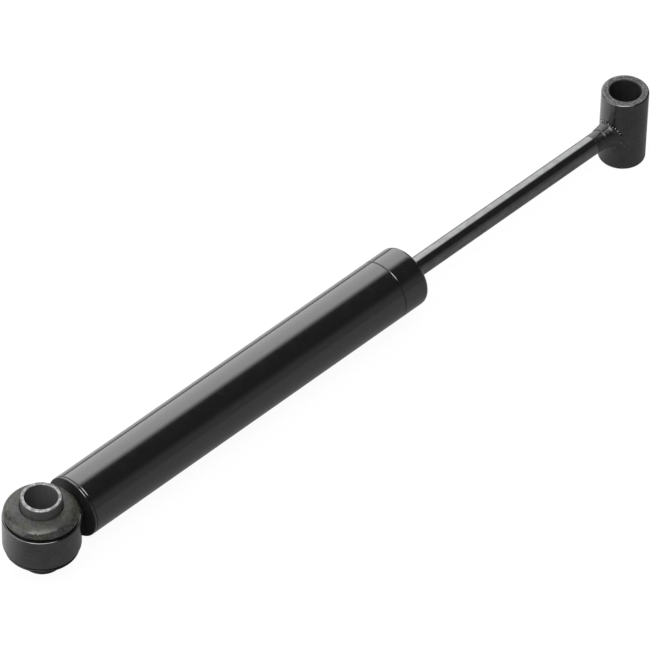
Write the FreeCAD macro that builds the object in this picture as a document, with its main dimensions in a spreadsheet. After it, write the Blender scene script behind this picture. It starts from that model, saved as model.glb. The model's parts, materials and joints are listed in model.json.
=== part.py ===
"""Twin-tube hydraulic damper of a trailer coupling, drawn fully extended.

The bushed eye's centre is the origin. +X runs along the damper to the rod eye, and +Z along the bores of
both eyes. Lengths are in millimetres.
"""

import FreeCAD, Part
import math
import os
import types

import Sketcher

DRIVING_SIZES = [
    ("eye_spacing", 502.5, "centre of the bushed eye to centre of the rod eye"),
    ("eye_height", 53.0, "length of the sleeve and of the rod eye"),
    ("eye_bore", 20.0, "bore of both eyes"),
    ("sleeve_corner", 0.4, "chamfer on the ends of the sleeve"),
    ("sleeve_outer", 25.0, "outer diameter of the bush's steel sleeve"),
    ("ring_outer", 47.0, "outer diameter of the eye ring"),
    ("ring_inner", 40.0, "inner diameter of the eye ring"),
    ("ring_height", 22.0, "height of the eye ring"),
    ("ring_corner", 1.4, "chamfer on the ring's outer edges"),
    ("rubber_above", 8.2, "how far the rubber bush stands out over the eye ring"),
    ("rubber_below", 6.8, "how far it stands out under the ring"),
    ("rubber_flange", 45.6, "diameter of the bush's flanges"),
    ("rubber_shoulder", 4.0, "rounding of the bush's flanges"),
    ("rubber_undercut", 1.2, "how much narrower a flange is where it leaves the ring"),
    ("rubber_slope", 3.0, "how much narrower a flange is towards its flat end"),
    ("rubber_gap", 1.4, "room between a flange and the ring's rim"),
    ("rod_eye_outer", 30.0, "outer diameter of the rod eye"),
    ("rod_eye_corner", 0.6, "chamfer on the ends of the rod eye"),
    ("rod_eye_rise", 1.0, "how far the middle of the rod eye stands above the rod's axis"),
    ("tube_outer", 40.0, "outer diameter of the reservoir tube, the base cap and the end cap"),
    ("tube_inner", 37.0, "inner diameter of the reservoir tube"),
    ("seam_corner", 0.8, "chamfer on each edge that meets at a seam, and on the base cap's rim"),
    ("base_face", 24.5, "bushed eye's centre to the face of the base cap"),
    ("base_rim", 2.0, "width of the base cap's rim, up to the tube"),
    ("base_plate", 4.0, "thickness of the base cap's plate"),
    ("base_spigot", 6.0, "depth of the base cap's spigot in the tube"),
    ("base_cup", 31.0, "diameter inside the base cap's spigot"),
    ("boss_outer", 14.0, "diameter of the boss that carries the eye ring"),
    ("boss_root", 2.0, "how far the boss reaches into the eye ring's curve"),
    ("weld_outer", 18.0, "diameter of the eye weld on the base cap"),
    ("weld_neck", 17.0, "diameter of the eye weld next to the eye ring"),
    ("cap_seam", 286.9, "bushed eye's centre to the seam of the end cap"),
    ("cap_end", 307.5, "bushed eye's centre to the end cap's outer face"),
    ("cap_spigot", 7.8, "depth of the end cap's spigot in the tube"),
    ("cap_inner", 34.6, "diameter inside the end cap, and of what is packed in it"),
    ("cap_wall", 4.0, "thickness of the end cap's wall"),
    ("cap_corner", 4.0, "rounding of the end cap's outer corner"),
    ("cap_hole", 14.4, "hole for the rod in the end cap"),
    ("wiper_outer", 21.0, "diameter of the wiper"),
    ("wiper_seat", 2.8, "depth of the wiper's seat"),
    ("wiper_proud", 0.8, "how far the wiper's lip stands out of the end cap"),
    ("wiper_relief", 0.5, "room between the rod and the wiper behind its lip"),
    ("wiper_tip", 0.6, "width of the wiper's lip at its tip"),
    ("wiper_land", 1.2, "width of the wiper's flat rim outside its lip"),
    ("pressure_outer", 29.5, "outer diameter of the pressure tube"),
    ("pressure_inner", 27.0, "inner diameter of the pressure tube"),
    ("running_gap", 0.03, "radial clearance of the rod and the sleeve"),
    ("rod_diameter", 13.0, "piston rod"),
    ("rod_root", 1.5, "how far the rod reaches into the rod eye's curve"),
    ("spigot_diameter", 8.0, "threaded end of the rod that carries the piston"),
    ("spigot_bevel", 0.8, "chamfer on the spigot's end"),
    ("thread_end", 1.0, "how far the spigot stands out of the piston nut"),
    ("stop_spacing", 22.0, "rod's shoulder to the rebound stop"),
    ("stop_width", 4.5, "width of the rebound stop"),
    ("stop_outer", 20.0, "diameter of the rebound stop"),
    ("groove_diameter", 11.6, "rod's diameter in the groove of the rebound stop"),
    ("buffer_width", 6.7, "width of the rebound buffer"),
    ("buffer_outer", 21.0, "diameter of the rebound buffer"),
    ("buffer_bore_gap", 0.1, "radial clearance of the rebound buffer on the rod"),
    ("buffer_gap", 0.3, "room between the buffer and the rod guide"),
    ("collar_outer", 15.0, "diameter of the upset collar between the rod and its eye"),
    ("collar_start", 1.9, "rod eye's surface to the collar"),
    ("collar_width", 3.9, "width of the collar up to its bevel"),
    ("collar_bevel", 0.5, "bevel at the collar's end, along the rod"),
    ("bead_outer", 20.0, "diameter of the rod eye weld where it meets the eye"),
    ("bead_ridge", 17.8, "diameter of the rod eye weld at its ridge"),
    ("bead_ridge_start", 0.9, "rod eye's surface to the ridge of the weld"),
    ("bead_root", 2.6, "how far the rod eye weld reaches into the eye's curve"),
    ("seal_height", 4.8, "height of the rod seal"),
    ("seal_relief", 0.8, "room between the rod and the seal between its lips"),
    ("seal_lead", 0.9, "depth of a seal lip's lead-in"),
    ("seal_land", 0.4, "width of a seal lip on the rod"),
    ("seal_back", 0.7, "length of the slope behind a seal lip"),
    ("seal_mouth", 1.6, "how much wider the seal's mouth is than its lips"),
    ("seal_drain", 1.0, "room under the seal's rim for oil on its way to the drain holes"),
    ("seal_foot", 21.4, "diameter of the seal's foot on the rod guide"),
    ("seal_washer_width", 1.2, "thickness of the washer over the seal"),
    ("guide_spigot", 6.0, "depth of the rod guide in the pressure tube"),
    ("guide_flange", 7.5, "width of the rod guide's flange"),
    ("guide_bevel", 0.5, "chamfer on the end of the rod guide's spigot"),
    ("guide_recess", 1.5, "width and room of the pocket under the seal's lips"),
    ("guide_recess_depth", 1.0, "depth of that pocket"),
    ("bush_outer", 16.0, "outer diameter of the guide bush"),
    ("bush_width", 11.0, "width of the guide bush"),
    ("bush_start", 0.8, "rod guide's end to the guide bush"),
    ("drain_port", 1.6, "diameter of the drain holes in the rod guide"),
    ("piston_outer", 26.4, "diameter of the piston"),
    ("piston_height", 12.3, "length of the piston without its hub"),
    ("piston_bevel", 0.6, "chamfer on the piston's ends"),
    ("band_groove", 24.4, "diameter at the bottom of the piston's groove"),
    ("band_width", 6.8, "width of the piston band"),
    ("band_side_gap", 0.15, "room on each side of the piston band"),
    ("band_wall_gap", 0.05, "radial clearance of the band in the pressure tube"),
    ("band_slit", 0.8, "width of the slit in the piston band"),
    ("hub_diameter", 10.4, "hub that centres a valve plate"),
    ("valve_space", 2.7, "height of a hub, the room for plate and spring"),
    ("plate_thickness", 0.7, "thickness of a valve plate"),
    ("plate_outer", 24.8, "diameter of a valve plate"),
    ("plate_bore", 11.0, "bore of a valve plate"),
    ("outer_port", 2.4, "diameter of the ports under a valve plate"),
    ("outer_port_circle", 21.0, "pitch circle of the ports under a valve plate"),
    ("inner_port", 1.8, "diameter of the ports over the shims"),
    ("inner_port_circle", 14.4, "pitch circle of the ports over the shims"),
    ("window_gap", 0.2, "how much wider a valve plate's windows are than the ports under them"),
    ("leaf_thickness", 0.4, "thickness of a valve spring"),
    ("leaf_slot", 3.2, "width of the slots between a valve spring's fingers"),
    ("leaf_bend", 1.5, "how far a valve spring lies flat under its washer, from the washer's edge"),
    ("leaf_tip", 1.0, "valve plate's edge to the tips of the fingers"),
    ("leaf_web", 0.5, "width of a valve spring's ring outside its bend"),
    ("leaf_lean", 0.2, "width that the fingers' slope adds to a valve spring's corners"),
    ("retainer_outer", 18.0, "diameter of the washers that hold the valve springs"),
    ("retainer_width", 1.5, "thickness of the washers that hold the valve springs"),
    ("shim_thickness", 0.4, "thickness of a shim"),
    ("shim_outer", 18.0, "diameter of the largest shim"),
    ("shim_step", 2.0, "how much smaller each next shim is"),
    ("spacer_outer", 13.0, "diameter of the spacer washer"),
    ("spacer_width", 1.5, "thickness of the spacer washer"),
    ("piston_nut_flats", 13.0, "width across flats of the piston nut"),
    ("piston_nut_height", 6.5, "height of the piston nut"),
    ("bolt_diameter", 5.0, "bolt of the base valve"),
    ("bolt_flats", 8.0, "width across flats of the bolt's head and nut"),
    ("bolt_head_height", 3.0, "height of the bolt's head"),
    ("bolt_nut_height", 4.0, "height of the bolt's nut"),
    ("bolt_end", 0.8, "how far the bolt stands out of its nut"),
    ("bolt_bevel", 0.6, "chamfer on the bolt's end"),
    ("foot_height", 5.0, "height of the base valve's foot"),
    ("foot_inner", 23.0, "diameter inside the base valve's foot"),
    ("foot_slot", 5.0, "width of the slots in the foot"),
    ("foot_web", 1.0, "thickness left over the slots in the foot"),
    ("valve_flange", 2.5, "width of the flange that the pressure tube stands on"),
    ("valve_spigot", 5.5, "depth of the base valve in the pressure tube"),
    ("hole_gap", 0.05, "radial room round a bolt or the rod's spigot"),
]

SHIMS = 3
PISTON_OUTER_PORTS = 8
BASE_OUTER_PORTS = 6
INNER_PORTS = 4
LEAF_FINGERS = 6
FOOT_SLOTS = 4
DRAIN_PORTS = 3
BEVEL_START_PER_FLATS = 0.475
BEVEL_REACH_PER_FLATS = 0.65
BEVEL_DEPTH_PER_FLATS = 0.1
CUT_OVERRUN = 1.0
POSITION_TOLERANCE = 1e-4


class Size:
    """A length, with the formula that gives it from the sheet's cells."""

    def __init__(self, value, formula):
        self.value = value
        self.formula = formula

    def __add__(self, other):
        other = as_size(other)
        return Size(self.value + other.value, f"({self.formula} + {other.formula})")

    def __sub__(self, other):
        other = as_size(other)
        return Size(self.value - other.value, f"({self.formula} - {other.formula})")

    def __mul__(self, factor):
        return Size(self.value * factor, f"({self.formula} * {factor})")

    def __truediv__(self, divisor):
        return Size(self.value / divisor, f"({self.formula} / {divisor})")


def as_size(number):
    return number if isinstance(number, Size) else Size(number, str(number))


ZERO = Size(0, "0")


def fill_sheet(doc):
    """Writes the driving sizes into the sheet, and returns them by name."""
    sheet = doc.addObject("Spreadsheet::Sheet", "Sizes")
    sizes = {}
    for row, (name, value, meaning) in enumerate(DRIVING_SIZES, start=1):
        sheet.set(f"A{row}", meaning)
        sheet.set(f"B{row}", str(value))
        sheet.setAlias(f"B{row}", name)
        sizes[name] = Size(value, f"Sizes.{name}")
    doc.recompute()
    return types.SimpleNamespace(**sizes)


def origin_feature(body, role):
    """One of the body's own planes or axes."""
    return next(feature for feature in body.Origin.OriginFeatures if feature.Role == role)


def new_body(doc, label, along=ZERO, up=ZERO, facing_back=False):
    """An empty body on the damper's axis; facing_back turns its own +X towards the bushed eye."""
    body = doc.addObject("PartDesign::Body", label)
    body.Label = label
    turn = FreeCAD.Rotation(FreeCAD.Vector(0, 0, 1), 180 if facing_back else 0)
    body.Placement = FreeCAD.Placement(FreeCAD.Vector(along.value, 0, up.value), turn)
    body.setExpression("Placement.Base.x", along.formula)
    body.setExpression("Placement.Base.z", up.formula)
    return body


def new_sketch(body, role):
    sketch = body.newObject("Sketcher::SketchObject", f"{body.Name}_sketch")
    sketch.AttachmentSupport = [(origin_feature(body, role), "")]
    sketch.MapMode = "FlatFace"
    return sketch


def bind(sketch, kind, *references, size):
    """A dimension of the sketch that follows the sheet."""
    index = sketch.addConstraint(Sketcher.Constraint(kind, *references, size.value))
    sketch.setExpression(f"Constraints[{index}]", size.formula)


def pin_vertex(sketch, line, across, up):
    """Fixes the start of a line at its distances from the sketch's two axes."""
    for kind, size, axis in (("DistanceX", across, -2), ("DistanceY", up, -1)):
        if size is ZERO:
            sketch.addConstraint(Sketcher.Constraint("PointOnObject", line, 1, axis))
        else:
            bind(sketch, kind, -1, 1, line, 1, size=size)


def draw_outline(sketch, vertices):
    """A closed outline of straight lines through (across, up) pairs."""
    corners = [FreeCAD.Vector(across.value, up.value, 0) for across, up in vertices]
    for start, end in zip(corners, corners[1:] + corners[:1]):
        sketch.addGeometry(Part.LineSegment(start, end), False)
    for line in range(len(corners)):
        following = (line + 1) % len(corners)
        sketch.addConstraint(Sketcher.Constraint("Coincident", line, 2, following, 1))
    for line, (across, up) in enumerate(vertices):
        pin_vertex(sketch, line, across, up)


def draw_circle(sketch, centre_across, diameter):
    """A circle with its centre on the sketch's first axis."""
    centre = FreeCAD.Vector(centre_across.value, 0, 0)
    circle = sketch.addGeometry(Part.Circle(centre, FreeCAD.Vector(0, 0, 1), diameter.value / 2), False)
    if centre_across is ZERO:
        sketch.addConstraint(Sketcher.Constraint("Coincident", circle, 3, -1, 1))
    else:
        sketch.addConstraint(Sketcher.Constraint("PointOnObject", circle, 3, -1))
        bind(sketch, "DistanceX", -1, 1, circle, 3, size=centre_across)
    bind(sketch, "Diameter", circle, size=diameter)


def draw_bar(sketch, start, end, width):
    """A rectangle that lies across the sketch's first axis, from start to end along it."""
    half = width.value / 2
    corners = [
        FreeCAD.Vector(start.value, -half, 0),
        FreeCAD.Vector(end.value, -half, 0),
        FreeCAD.Vector(end.value, half, 0),
        FreeCAD.Vector(start.value, half, 0),
    ]
    for line, corner in enumerate(corners):
        sketch.addGeometry(Part.LineSegment(corner, corners[(line + 1) % 4]), False)
    for line in range(4):
        sketch.addConstraint(Sketcher.Constraint("Coincident", line, 2, (line + 1) % 4, 1))
    sketch.addConstraint(Sketcher.Constraint("Horizontal", 0))
    sketch.addConstraint(Sketcher.Constraint("Symmetric", 0, 1, 3, 1, -1))
    sketch.addConstraint(Sketcher.Constraint("Symmetric", 1, 1, 2, 1, -1))
    bind(sketch, "DistanceX", -1, 1, 0, 1, size=start)
    bind(sketch, "DistanceX", -1, 1, 1, 1, size=end)
    bind(sketch, "DistanceY", 1, 1, 1, 2, size=width)


def draw_hexagon(sketch, flats):
    """A regular hexagon round the sketch's origin, with two corners on its first axis."""
    corner_radius = flats / math.sqrt(3)
    around = Part.Circle(FreeCAD.Vector(0, 0, 0), FreeCAD.Vector(0, 0, 1), corner_radius.value)
    corners = [
        FreeCAD.Vector(math.cos(math.radians(turn)), math.sin(math.radians(turn)), 0) * corner_radius.value
        for turn in range(0, 360, 60)
    ]
    for line, corner in enumerate(corners):
        sketch.addGeometry(Part.LineSegment(corner, corners[(line + 1) % 6]), False)
    circle = sketch.addGeometry(around, True)
    sketch.addConstraint(Sketcher.Constraint("Coincident", circle, 3, -1, 1))
    bind(sketch, "Radius", circle, size=corner_radius)
    for line in range(6):
        sketch.addConstraint(Sketcher.Constraint("Coincident", line, 2, (line + 1) % 6, 1))
        sketch.addConstraint(Sketcher.Constraint("PointOnObject", line, 1, circle))
    for line in range(1, 6):
        sketch.addConstraint(Sketcher.Constraint("Equal", 0, line))
    sketch.addConstraint(Sketcher.Constraint("PointOnObject", 0, 1, -1))


def revolve(body, vertices, plane="XY_Plane", axis="X_Axis"):
    """A turned solid from (along the axis, radius) pairs."""
    sketch = new_sketch(body, plane)
    draw_outline(sketch, vertices)
    turned = body.newObject("PartDesign::Revolution", f"{body.Name}_turned")
    turned.Profile = sketch
    turned.ReferenceAxis = (origin_feature(body, axis), [""])
    turned.Angle = 360
    sketch.Visibility = False
    body.Document.recompute()
    return turned


def revolve_upright(body, vertices):
    """A solid turned about Z, from (height, radius) pairs."""
    return revolve(body, [(radius, height) for height, radius in vertices], "XZ_Plane", "Z_Axis")


def cut(body, draw, depth=None):
    """Cuts what draw puts on the plane across the body's X axis, from there towards +X."""
    sketch = new_sketch(body, "YZ_Plane")
    draw(sketch)
    before = body.Shape.Volume
    pocket = body.newObject("PartDesign::Pocket", f"{body.Name}_cut")
    pocket.Profile = sketch
    pocket.Reversed = True
    if depth is None:
        pocket.Type = "ThroughAll"
    else:
        pocket.Type = "Length"
        pocket.Length = depth.value
        pocket.setExpression("Length", depth.formula)
    sketch.Visibility = False
    body.Document.recompute()
    if body.Shape.Volume >= before:
        raise ValueError(f"a cut in {body.Label} removes nothing")
    return pocket


def repeat_round_axis(body, feature, count):
    """Repeats a cut evenly round the body's X axis."""
    before = body.Shape.Volume
    pattern = body.newObject("PartDesign::PolarPattern", f"{body.Name}_pattern")
    pattern.Originals = [feature]
    pattern.Axis = (origin_feature(body, "X_Axis"), [""])
    pattern.Angle = 360
    pattern.Occurrences = count
    body.Tip = pattern
    body.Document.recompute()
    if body.Shape.Volume >= before:
        raise ValueError(f"a pattern in {body.Label} removes nothing")


def cope(body, diameter):
    """Cuts the saddle that seats a piece on an upright tube whose axis is the body's Z axis."""
    sketch = new_sketch(body, "XY_Plane")
    draw_circle(sketch, ZERO, diameter)
    before = body.Shape.Volume
    saddle = body.newObject("PartDesign::Pocket", f"{body.Name}_saddle")
    saddle.Profile = sketch
    saddle.Type = "ThroughAll"
    saddle.SideType = "Symmetric"
    sketch.Visibility = False
    body.Document.recompute()
    if body.Shape.Volume >= before:
        raise ValueError(f"the saddle in {body.Label} removes nothing")


def round_edges(feature, radius, *stations, axis="x"):
    """Names of a turned feature's round edges of one radius that lie at the stations along its axis."""
    names = []
    for number, edge in enumerate(feature.Shape.Edges, start=1):
        if not isinstance(edge.Curve, Part.Circle) or not edge.isClosed():
            continue
        at_radius = abs(edge.Curve.Radius - radius.value) < POSITION_TOLERANCE
        place = getattr(edge.Curve.Center, axis)
        if at_radius and any(abs(place - station.value) < POSITION_TOLERANCE for station in stations):
            names.append(f"Edge{number}")
    if len(names) != len(stations):
        raise ValueError(f"{len(names)} edges of {feature.Label} were found in place of {len(stations)}")
    return names


def dress(body, kind, size, edges_of, names):
    """A fillet or chamfer on named edges of the body's last feature."""
    feature = body.newObject(f"PartDesign::{kind}", f"{body.Name}_{kind.lower()}")
    feature.Base = (edges_of, names)
    dimension = "Radius" if kind == "Fillet" else "Size"
    setattr(feature, dimension, size.value)
    feature.setExpression(dimension, size.formula)
    body.Document.recompute()
    return feature


def washer(doc, label, start, width, inner, outer):
    """A flat ring on the damper's axis."""
    body = new_body(doc, label, start)
    revolve(body, [(ZERO, inner / 2), (width, inner / 2), (width, outer / 2), (ZERO, outer / 2)])
    return body


def stations(size):
    """Places along the damper that several pieces share, as lengths from the bushed eye's centre."""
    at = types.SimpleNamespace()
    at.base_seam = size.base_face + size.base_rim
    at.base_inside = size.base_face + size.base_plate
    at.valve_underside = at.base_inside + size.foot_height
    at.pressure_start = at.valve_underside + size.valve_flange
    at.valve_seat = at.pressure_start + size.valve_spigot
    at.retainer = at.valve_seat + size.valve_space
    at.base_nut = at.retainer + size.retainer_width
    at.bolt_head = at.valve_underside - size.shim_thickness * SHIMS - size.bolt_head_height
    at.cap_wall_inside = size.cap_end - size.cap_wall
    at.seal_washer = at.cap_wall_inside - size.seal_washer_width
    at.seal = at.seal_washer - size.seal_height
    at.guide_shoulder = at.seal - size.guide_flange
    at.guide = at.guide_shoulder - size.guide_spigot
    at.buffer = at.guide - size.buffer_gap - size.buffer_width
    at.stop = at.buffer - size.stop_width
    at.rod_shoulder = at.stop - size.stop_spacing
    at.backing_washer = at.rod_shoulder - size.retainer_width
    at.piston_seat = at.backing_washer - size.valve_space
    at.piston = at.piston_seat - size.piston_height
    at.spacer = at.piston - size.shim_thickness * SHIMS - size.spacer_width
    at.piston_nut = at.spacer - size.piston_nut_height
    at.rod_start = at.piston_nut - size.thread_end
    return at


def make_eye_ring(doc, size):
    body = new_body(doc, "eye_ring", up=ZERO - size.ring_height / 2)
    outer = size.ring_outer / 2
    inner = size.ring_inner / 2
    ring = revolve_upright(
        body, [(ZERO, inner), (ZERO, outer), (size.ring_height, outer), (size.ring_height, inner)]
    )
    rims = round_edges(ring, outer, ZERO, size.ring_height, axis="z")
    dress(body, "Chamfer", size.ring_corner, ring, rims)


def make_eye_bush(doc, size):
    """Rubber that fills the ring and bulges over its two rims as domed flanges."""
    body = new_body(doc, "eye_bush", up=ZERO - size.ring_height / 2 - size.rubber_below)
    bore = size.sleeve_outer / 2 + size.running_gap
    waist = size.ring_inner / 2
    flange = size.rubber_flange / 2
    undercut = flange - size.rubber_undercut
    shoulder = flange - size.rubber_slope
    lower_rim = size.rubber_below - size.rubber_gap
    upper_rim = size.rubber_below + size.ring_height + size.rubber_gap
    top = size.rubber_below + size.ring_height + size.rubber_above
    vertices = [
        (ZERO, bore),
        (ZERO, shoulder),
        (lower_rim - size.rubber_undercut, flange),
        (lower_rim, undercut),
        (lower_rim, waist),
        (upper_rim, waist),
        (upper_rim, undercut),
        (upper_rim + size.rubber_undercut, flange),
        (top, shoulder),
        (top, bore),
    ]
    rubber = revolve_upright(body, vertices)
    shoulders = round_edges(rubber, shoulder, ZERO, top, axis="z")
    dress(body, "Fillet", size.rubber_shoulder, rubber, shoulders)


def make_eye_tube(doc, size, label, along, rise, outer, corner):
    """A thick upright tube with chamfered ends: the bush's sleeve, or the plain eye on the rod."""
    body = new_body(doc, label, along, rise - size.eye_height / 2)
    inner = size.eye_bore / 2
    tube = revolve_upright(
        body, [(ZERO, inner), (ZERO, outer / 2), (size.eye_height, outer / 2), (size.eye_height, inner)]
    )
    ends = round_edges(tube, inner, ZERO, size.eye_height, axis="z")
    ends += round_edges(tube, outer / 2, ZERO, size.eye_height, axis="z")
    dress(body, "Chamfer", corner, tube, ends)


def make_base_cap(doc, size, at):
    """Closing disc with a boss that is coped to the eye ring, and a spigot in the tube."""
    body = new_body(doc, "base_cap")
    boss = size.boss_outer / 2
    rim = size.tube_outer / 2
    spigot = size.tube_inner / 2
    cup = size.base_cup / 2
    boss_start = size.ring_outer / 2 - size.boss_root
    spigot_end = at.base_seam + size.base_spigot
    vertices = [
        (boss_start, ZERO),
        (boss_start, boss),
        (size.base_face, boss),
        (size.base_face, rim),
        (at.base_seam, rim),
        (at.base_seam, spigot),
        (spigot_end, spigot),
        (spigot_end, cup),
        (at.base_inside, cup),
        (at.base_inside, ZERO),
    ]
    disc = revolve(body, vertices)
    rims = round_edges(disc, rim, size.base_face, at.base_seam)
    dress(body, "Chamfer", size.seam_corner, disc, rims)
    cope(body, size.ring_outer)


def make_eye_weld(doc, size):
    """Bead round the boss, between the ring and the base cap."""
    body = new_body(doc, "eye_weld")
    boss = size.boss_outer / 2
    start = size.ring_outer / 2 - size.boss_root
    vertices = [
        (start, boss),
        (start, size.weld_neck / 2),
        (size.base_face, size.weld_outer / 2),
        (size.base_face, boss),
    ]
    revolve(body, vertices)
    cope(body, size.ring_outer)


def make_reservoir_tube(doc, size, at):
    body = new_body(doc, "reservoir_tube", at.base_seam)
    length = size.cap_seam - at.base_seam
    outer = size.tube_outer / 2
    inner = size.tube_inner / 2
    tube = revolve(body, [(ZERO, inner), (ZERO, outer), (length, outer), (length, inner)])
    dress(body, "Chamfer", size.seam_corner, tube, round_edges(tube, outer, ZERO, length))


def make_end_cap(doc, size, at):
    """Cup over the rod end: spigot in the tube, rounded corner, seat for the wiper."""
    start = size.cap_seam - size.cap_spigot
    body = new_body(doc, "end_cap", start)
    length = size.cap_end - start
    outer = size.tube_outer / 2
    spigot = size.tube_inner / 2
    inner = size.cap_inner / 2
    hole = size.cap_hole / 2
    seat = size.wiper_outer / 2
    vertices = [
        (ZERO, inner),
        (ZERO, spigot),
        (size.cap_spigot, spigot),
        (size.cap_spigot, outer),
        (length, outer),
        (length, seat),
        (length - size.wiper_seat, seat),
        (length - size.wiper_seat, hole),
        (length - size.cap_wall, hole),
        (length - size.cap_wall, inner),
    ]
    cup = revolve(body, vertices)
    rounded = dress(body, "Fillet", size.cap_corner, cup, round_edges(cup, outer, length))
    dress(body, "Chamfer", size.seam_corner, rounded, round_edges(rounded, outer, size.cap_spigot))


def make_rod_wiper(doc, size):
    """Scraper ring in the end cap, with a lip that leans out along the rod."""
    start = size.cap_end - size.wiper_seat
    body = new_body(doc, "rod_wiper", start)
    lip = size.rod_diameter / 2 + size.running_gap
    relief = lip + size.wiper_relief
    outer = size.wiper_outer / 2
    tip = size.wiper_seat + size.wiper_proud
    vertices = [
        (ZERO, relief),
        (ZERO, outer),
        (size.wiper_seat, outer),
        (size.wiper_seat, outer - size.wiper_land),
        (tip, lip + size.wiper_tip),
        (tip, lip),
        (size.wiper_seat, lip),
        (size.wiper_seat - size.wiper_proud, relief),
    ]
    revolve(body, vertices)


def make_pressure_tube(doc, size, at):
    length = at.guide_shoulder - at.pressure_start
    washer(doc, "pressure_tube", at.pressure_start, length, size.pressure_inner, size.pressure_outer)


def drill_port_ring(body, circle, diameter, count):
    """Even holes through the body, parallel to the damper's axis."""
    port = cut(body, lambda sketch: draw_circle(sketch, circle / 2, diameter))
    repeat_round_axis(body, port, count)


def cut_slot(body, inside, outside, width, depth=None):
    """A radial slot through a ring's wall, parallel to the damper's axis."""
    start = inside - CUT_OVERRUN
    end = outside + CUT_OVERRUN
    return cut(body, lambda sketch: draw_bar(sketch, start, end, width), depth)


def make_base_valve_body(doc, size, at):
    """Foot valve: slotted foot on the base cap, flange under the pressure tube, hub and two port rings."""
    body = new_body(doc, "base_valve_body", at.base_inside)
    bore = size.bolt_diameter / 2 + size.hole_gap
    hub = size.hub_diameter / 2
    foot = size.foot_inner / 2
    flange = size.pressure_outer / 2
    spigot = size.pressure_inner / 2
    flange_end = size.foot_height + size.valve_flange
    seat = flange_end + size.valve_spigot
    vertices = [
        (ZERO, foot),
        (ZERO, flange),
        (flange_end, flange),
        (flange_end, spigot),
        (seat, spigot),
        (seat, hub),
        (seat + size.valve_space, hub),
        (seat + size.valve_space, bore),
        (size.foot_height, bore),
        (size.foot_height, foot),
    ]
    revolve(body, vertices)
    slot_depth = size.foot_height - size.foot_web
    repeat_round_axis(body, cut_slot(body, foot, flange, size.foot_slot, slot_depth), FOOT_SLOTS)
    drill_port_ring(body, size.outer_port_circle, size.outer_port, BASE_OUTER_PORTS)
    drill_port_ring(body, size.inner_port_circle, size.inner_port, INNER_PORTS)


def make_valve_plate(doc, size, label, seat):
    """One-way plate that covers the outer ports, with windows over the inner ones."""
    body = washer(doc, label, seat, size.plate_thickness, size.plate_bore, size.plate_outer)
    drill_port_ring(body, size.inner_port_circle, size.inner_port + size.window_gap, INNER_PORTS)


def make_valve_spring(doc, size, label, seat):
    """Star spring: a flat ring under the washer, with sloping fingers that press on the plate."""
    body = new_body(doc, label, seat + size.plate_thickness)
    height = size.valve_space - size.plate_thickness
    leaf = size.leaf_thickness
    bore = size.plate_bore / 2 + size.hole_gap * 2
    bend = size.retainer_outer / 2 - size.leaf_bend
    tip = size.plate_outer / 2 - size.leaf_tip
    vertices = [
        (ZERO, tip - size.leaf_lean),
        (ZERO, tip),
        (leaf, tip),
        (height, bend),
        (height, bore),
        (height - leaf, bore),
        (height - leaf, bend - size.leaf_lean),
    ]
    revolve(body, vertices)
    fingers_start = bend + size.leaf_web + CUT_OVERRUN
    repeat_round_axis(body, cut_slot(body, fingers_start, tip, size.leaf_slot), LEAF_FINGERS)


def make_shims(doc, size, label, face, bolt):
    """Thin discs stacked under the inner ports, the widest next to the ports."""
    for number in range(SHIMS):
        start = face - size.shim_thickness * (number + 1)
        outer = size.shim_outer - size.shim_step * number
        bore = bolt + size.hole_gap * 2
        washer(doc, f"{label}_{number + 1}", start, size.shim_thickness, bore, outer)


def pad_hexagon(body, flats, height):
    """A hexagonal prism that starts on the plane across the body's X axis."""
    sketch = new_sketch(body, "YZ_Plane")
    draw_hexagon(sketch, flats)
    prism = body.newObject("PartDesign::Pad", f"{body.Name}_prism")
    prism.Profile = sketch
    prism.Length = height.value
    prism.setExpression("Length", height.formula)
    sketch.Visibility = False
    body.Document.recompute()


def turn_off_corners(body, flats, height, bevel_far_end):
    """Bevels a hexagon's corners at its near end, and at its far end if asked."""
    inside = flats * BEVEL_START_PER_FLATS
    outside = flats * BEVEL_REACH_PER_FLATS
    bevel = flats * BEVEL_DEPTH_PER_FLATS
    rings = [[(ZERO, inside), (ZERO, outside), (bevel, outside)]]
    if bevel_far_end:
        rings.append([(height, inside), (height, outside), (height - bevel, outside)])
    for vertices in rings:
        sketch = new_sketch(body, "XY_Plane")
        draw_outline(sketch, vertices)
        before = body.Shape.Volume
        groove = body.newObject("PartDesign::Groove", f"{body.Name}_bevel")
        groove.Profile = sketch
        groove.ReferenceAxis = (origin_feature(body, "X_Axis"), [""])
        groove.Angle = 360
        sketch.Visibility = False
        body.Document.recompute()
        if body.Shape.Volume >= before:
            raise ValueError(f"a bevel on {body.Label} removes nothing")


def make_hex_nut(doc, size, label, start, flats, height, bolt):
    """Nut with its corners turned off at both ends."""
    body = new_body(doc, label, start)
    pad_hexagon(body, flats, height)
    turn_off_corners(body, flats, height, bevel_far_end=True)
    cut(body, lambda sketch: draw_circle(sketch, ZERO, bolt + size.hole_gap * 2))


def make_base_valve_bolt(doc, size, at):
    """Bolt with a hexagon head under the foot valve, plain where its thread would be."""
    body = new_body(doc, "base_valve_bolt", at.bolt_head)
    shank = size.bolt_diameter / 2
    length = at.base_nut + size.bolt_nut_height + size.bolt_end - at.bolt_head
    pad_hexagon(body, size.bolt_flats, size.bolt_head_height)
    turn_off_corners(body, size.bolt_flats, size.bolt_head_height, bevel_far_end=False)
    vertices = [
        (size.bolt_head_height / 2, ZERO),
        (size.bolt_head_height / 2, shank),
        (length - size.bolt_bevel, shank),
        (length, shank - size.bolt_bevel),
        (length, ZERO),
    ]
    revolve(body, vertices)


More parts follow.
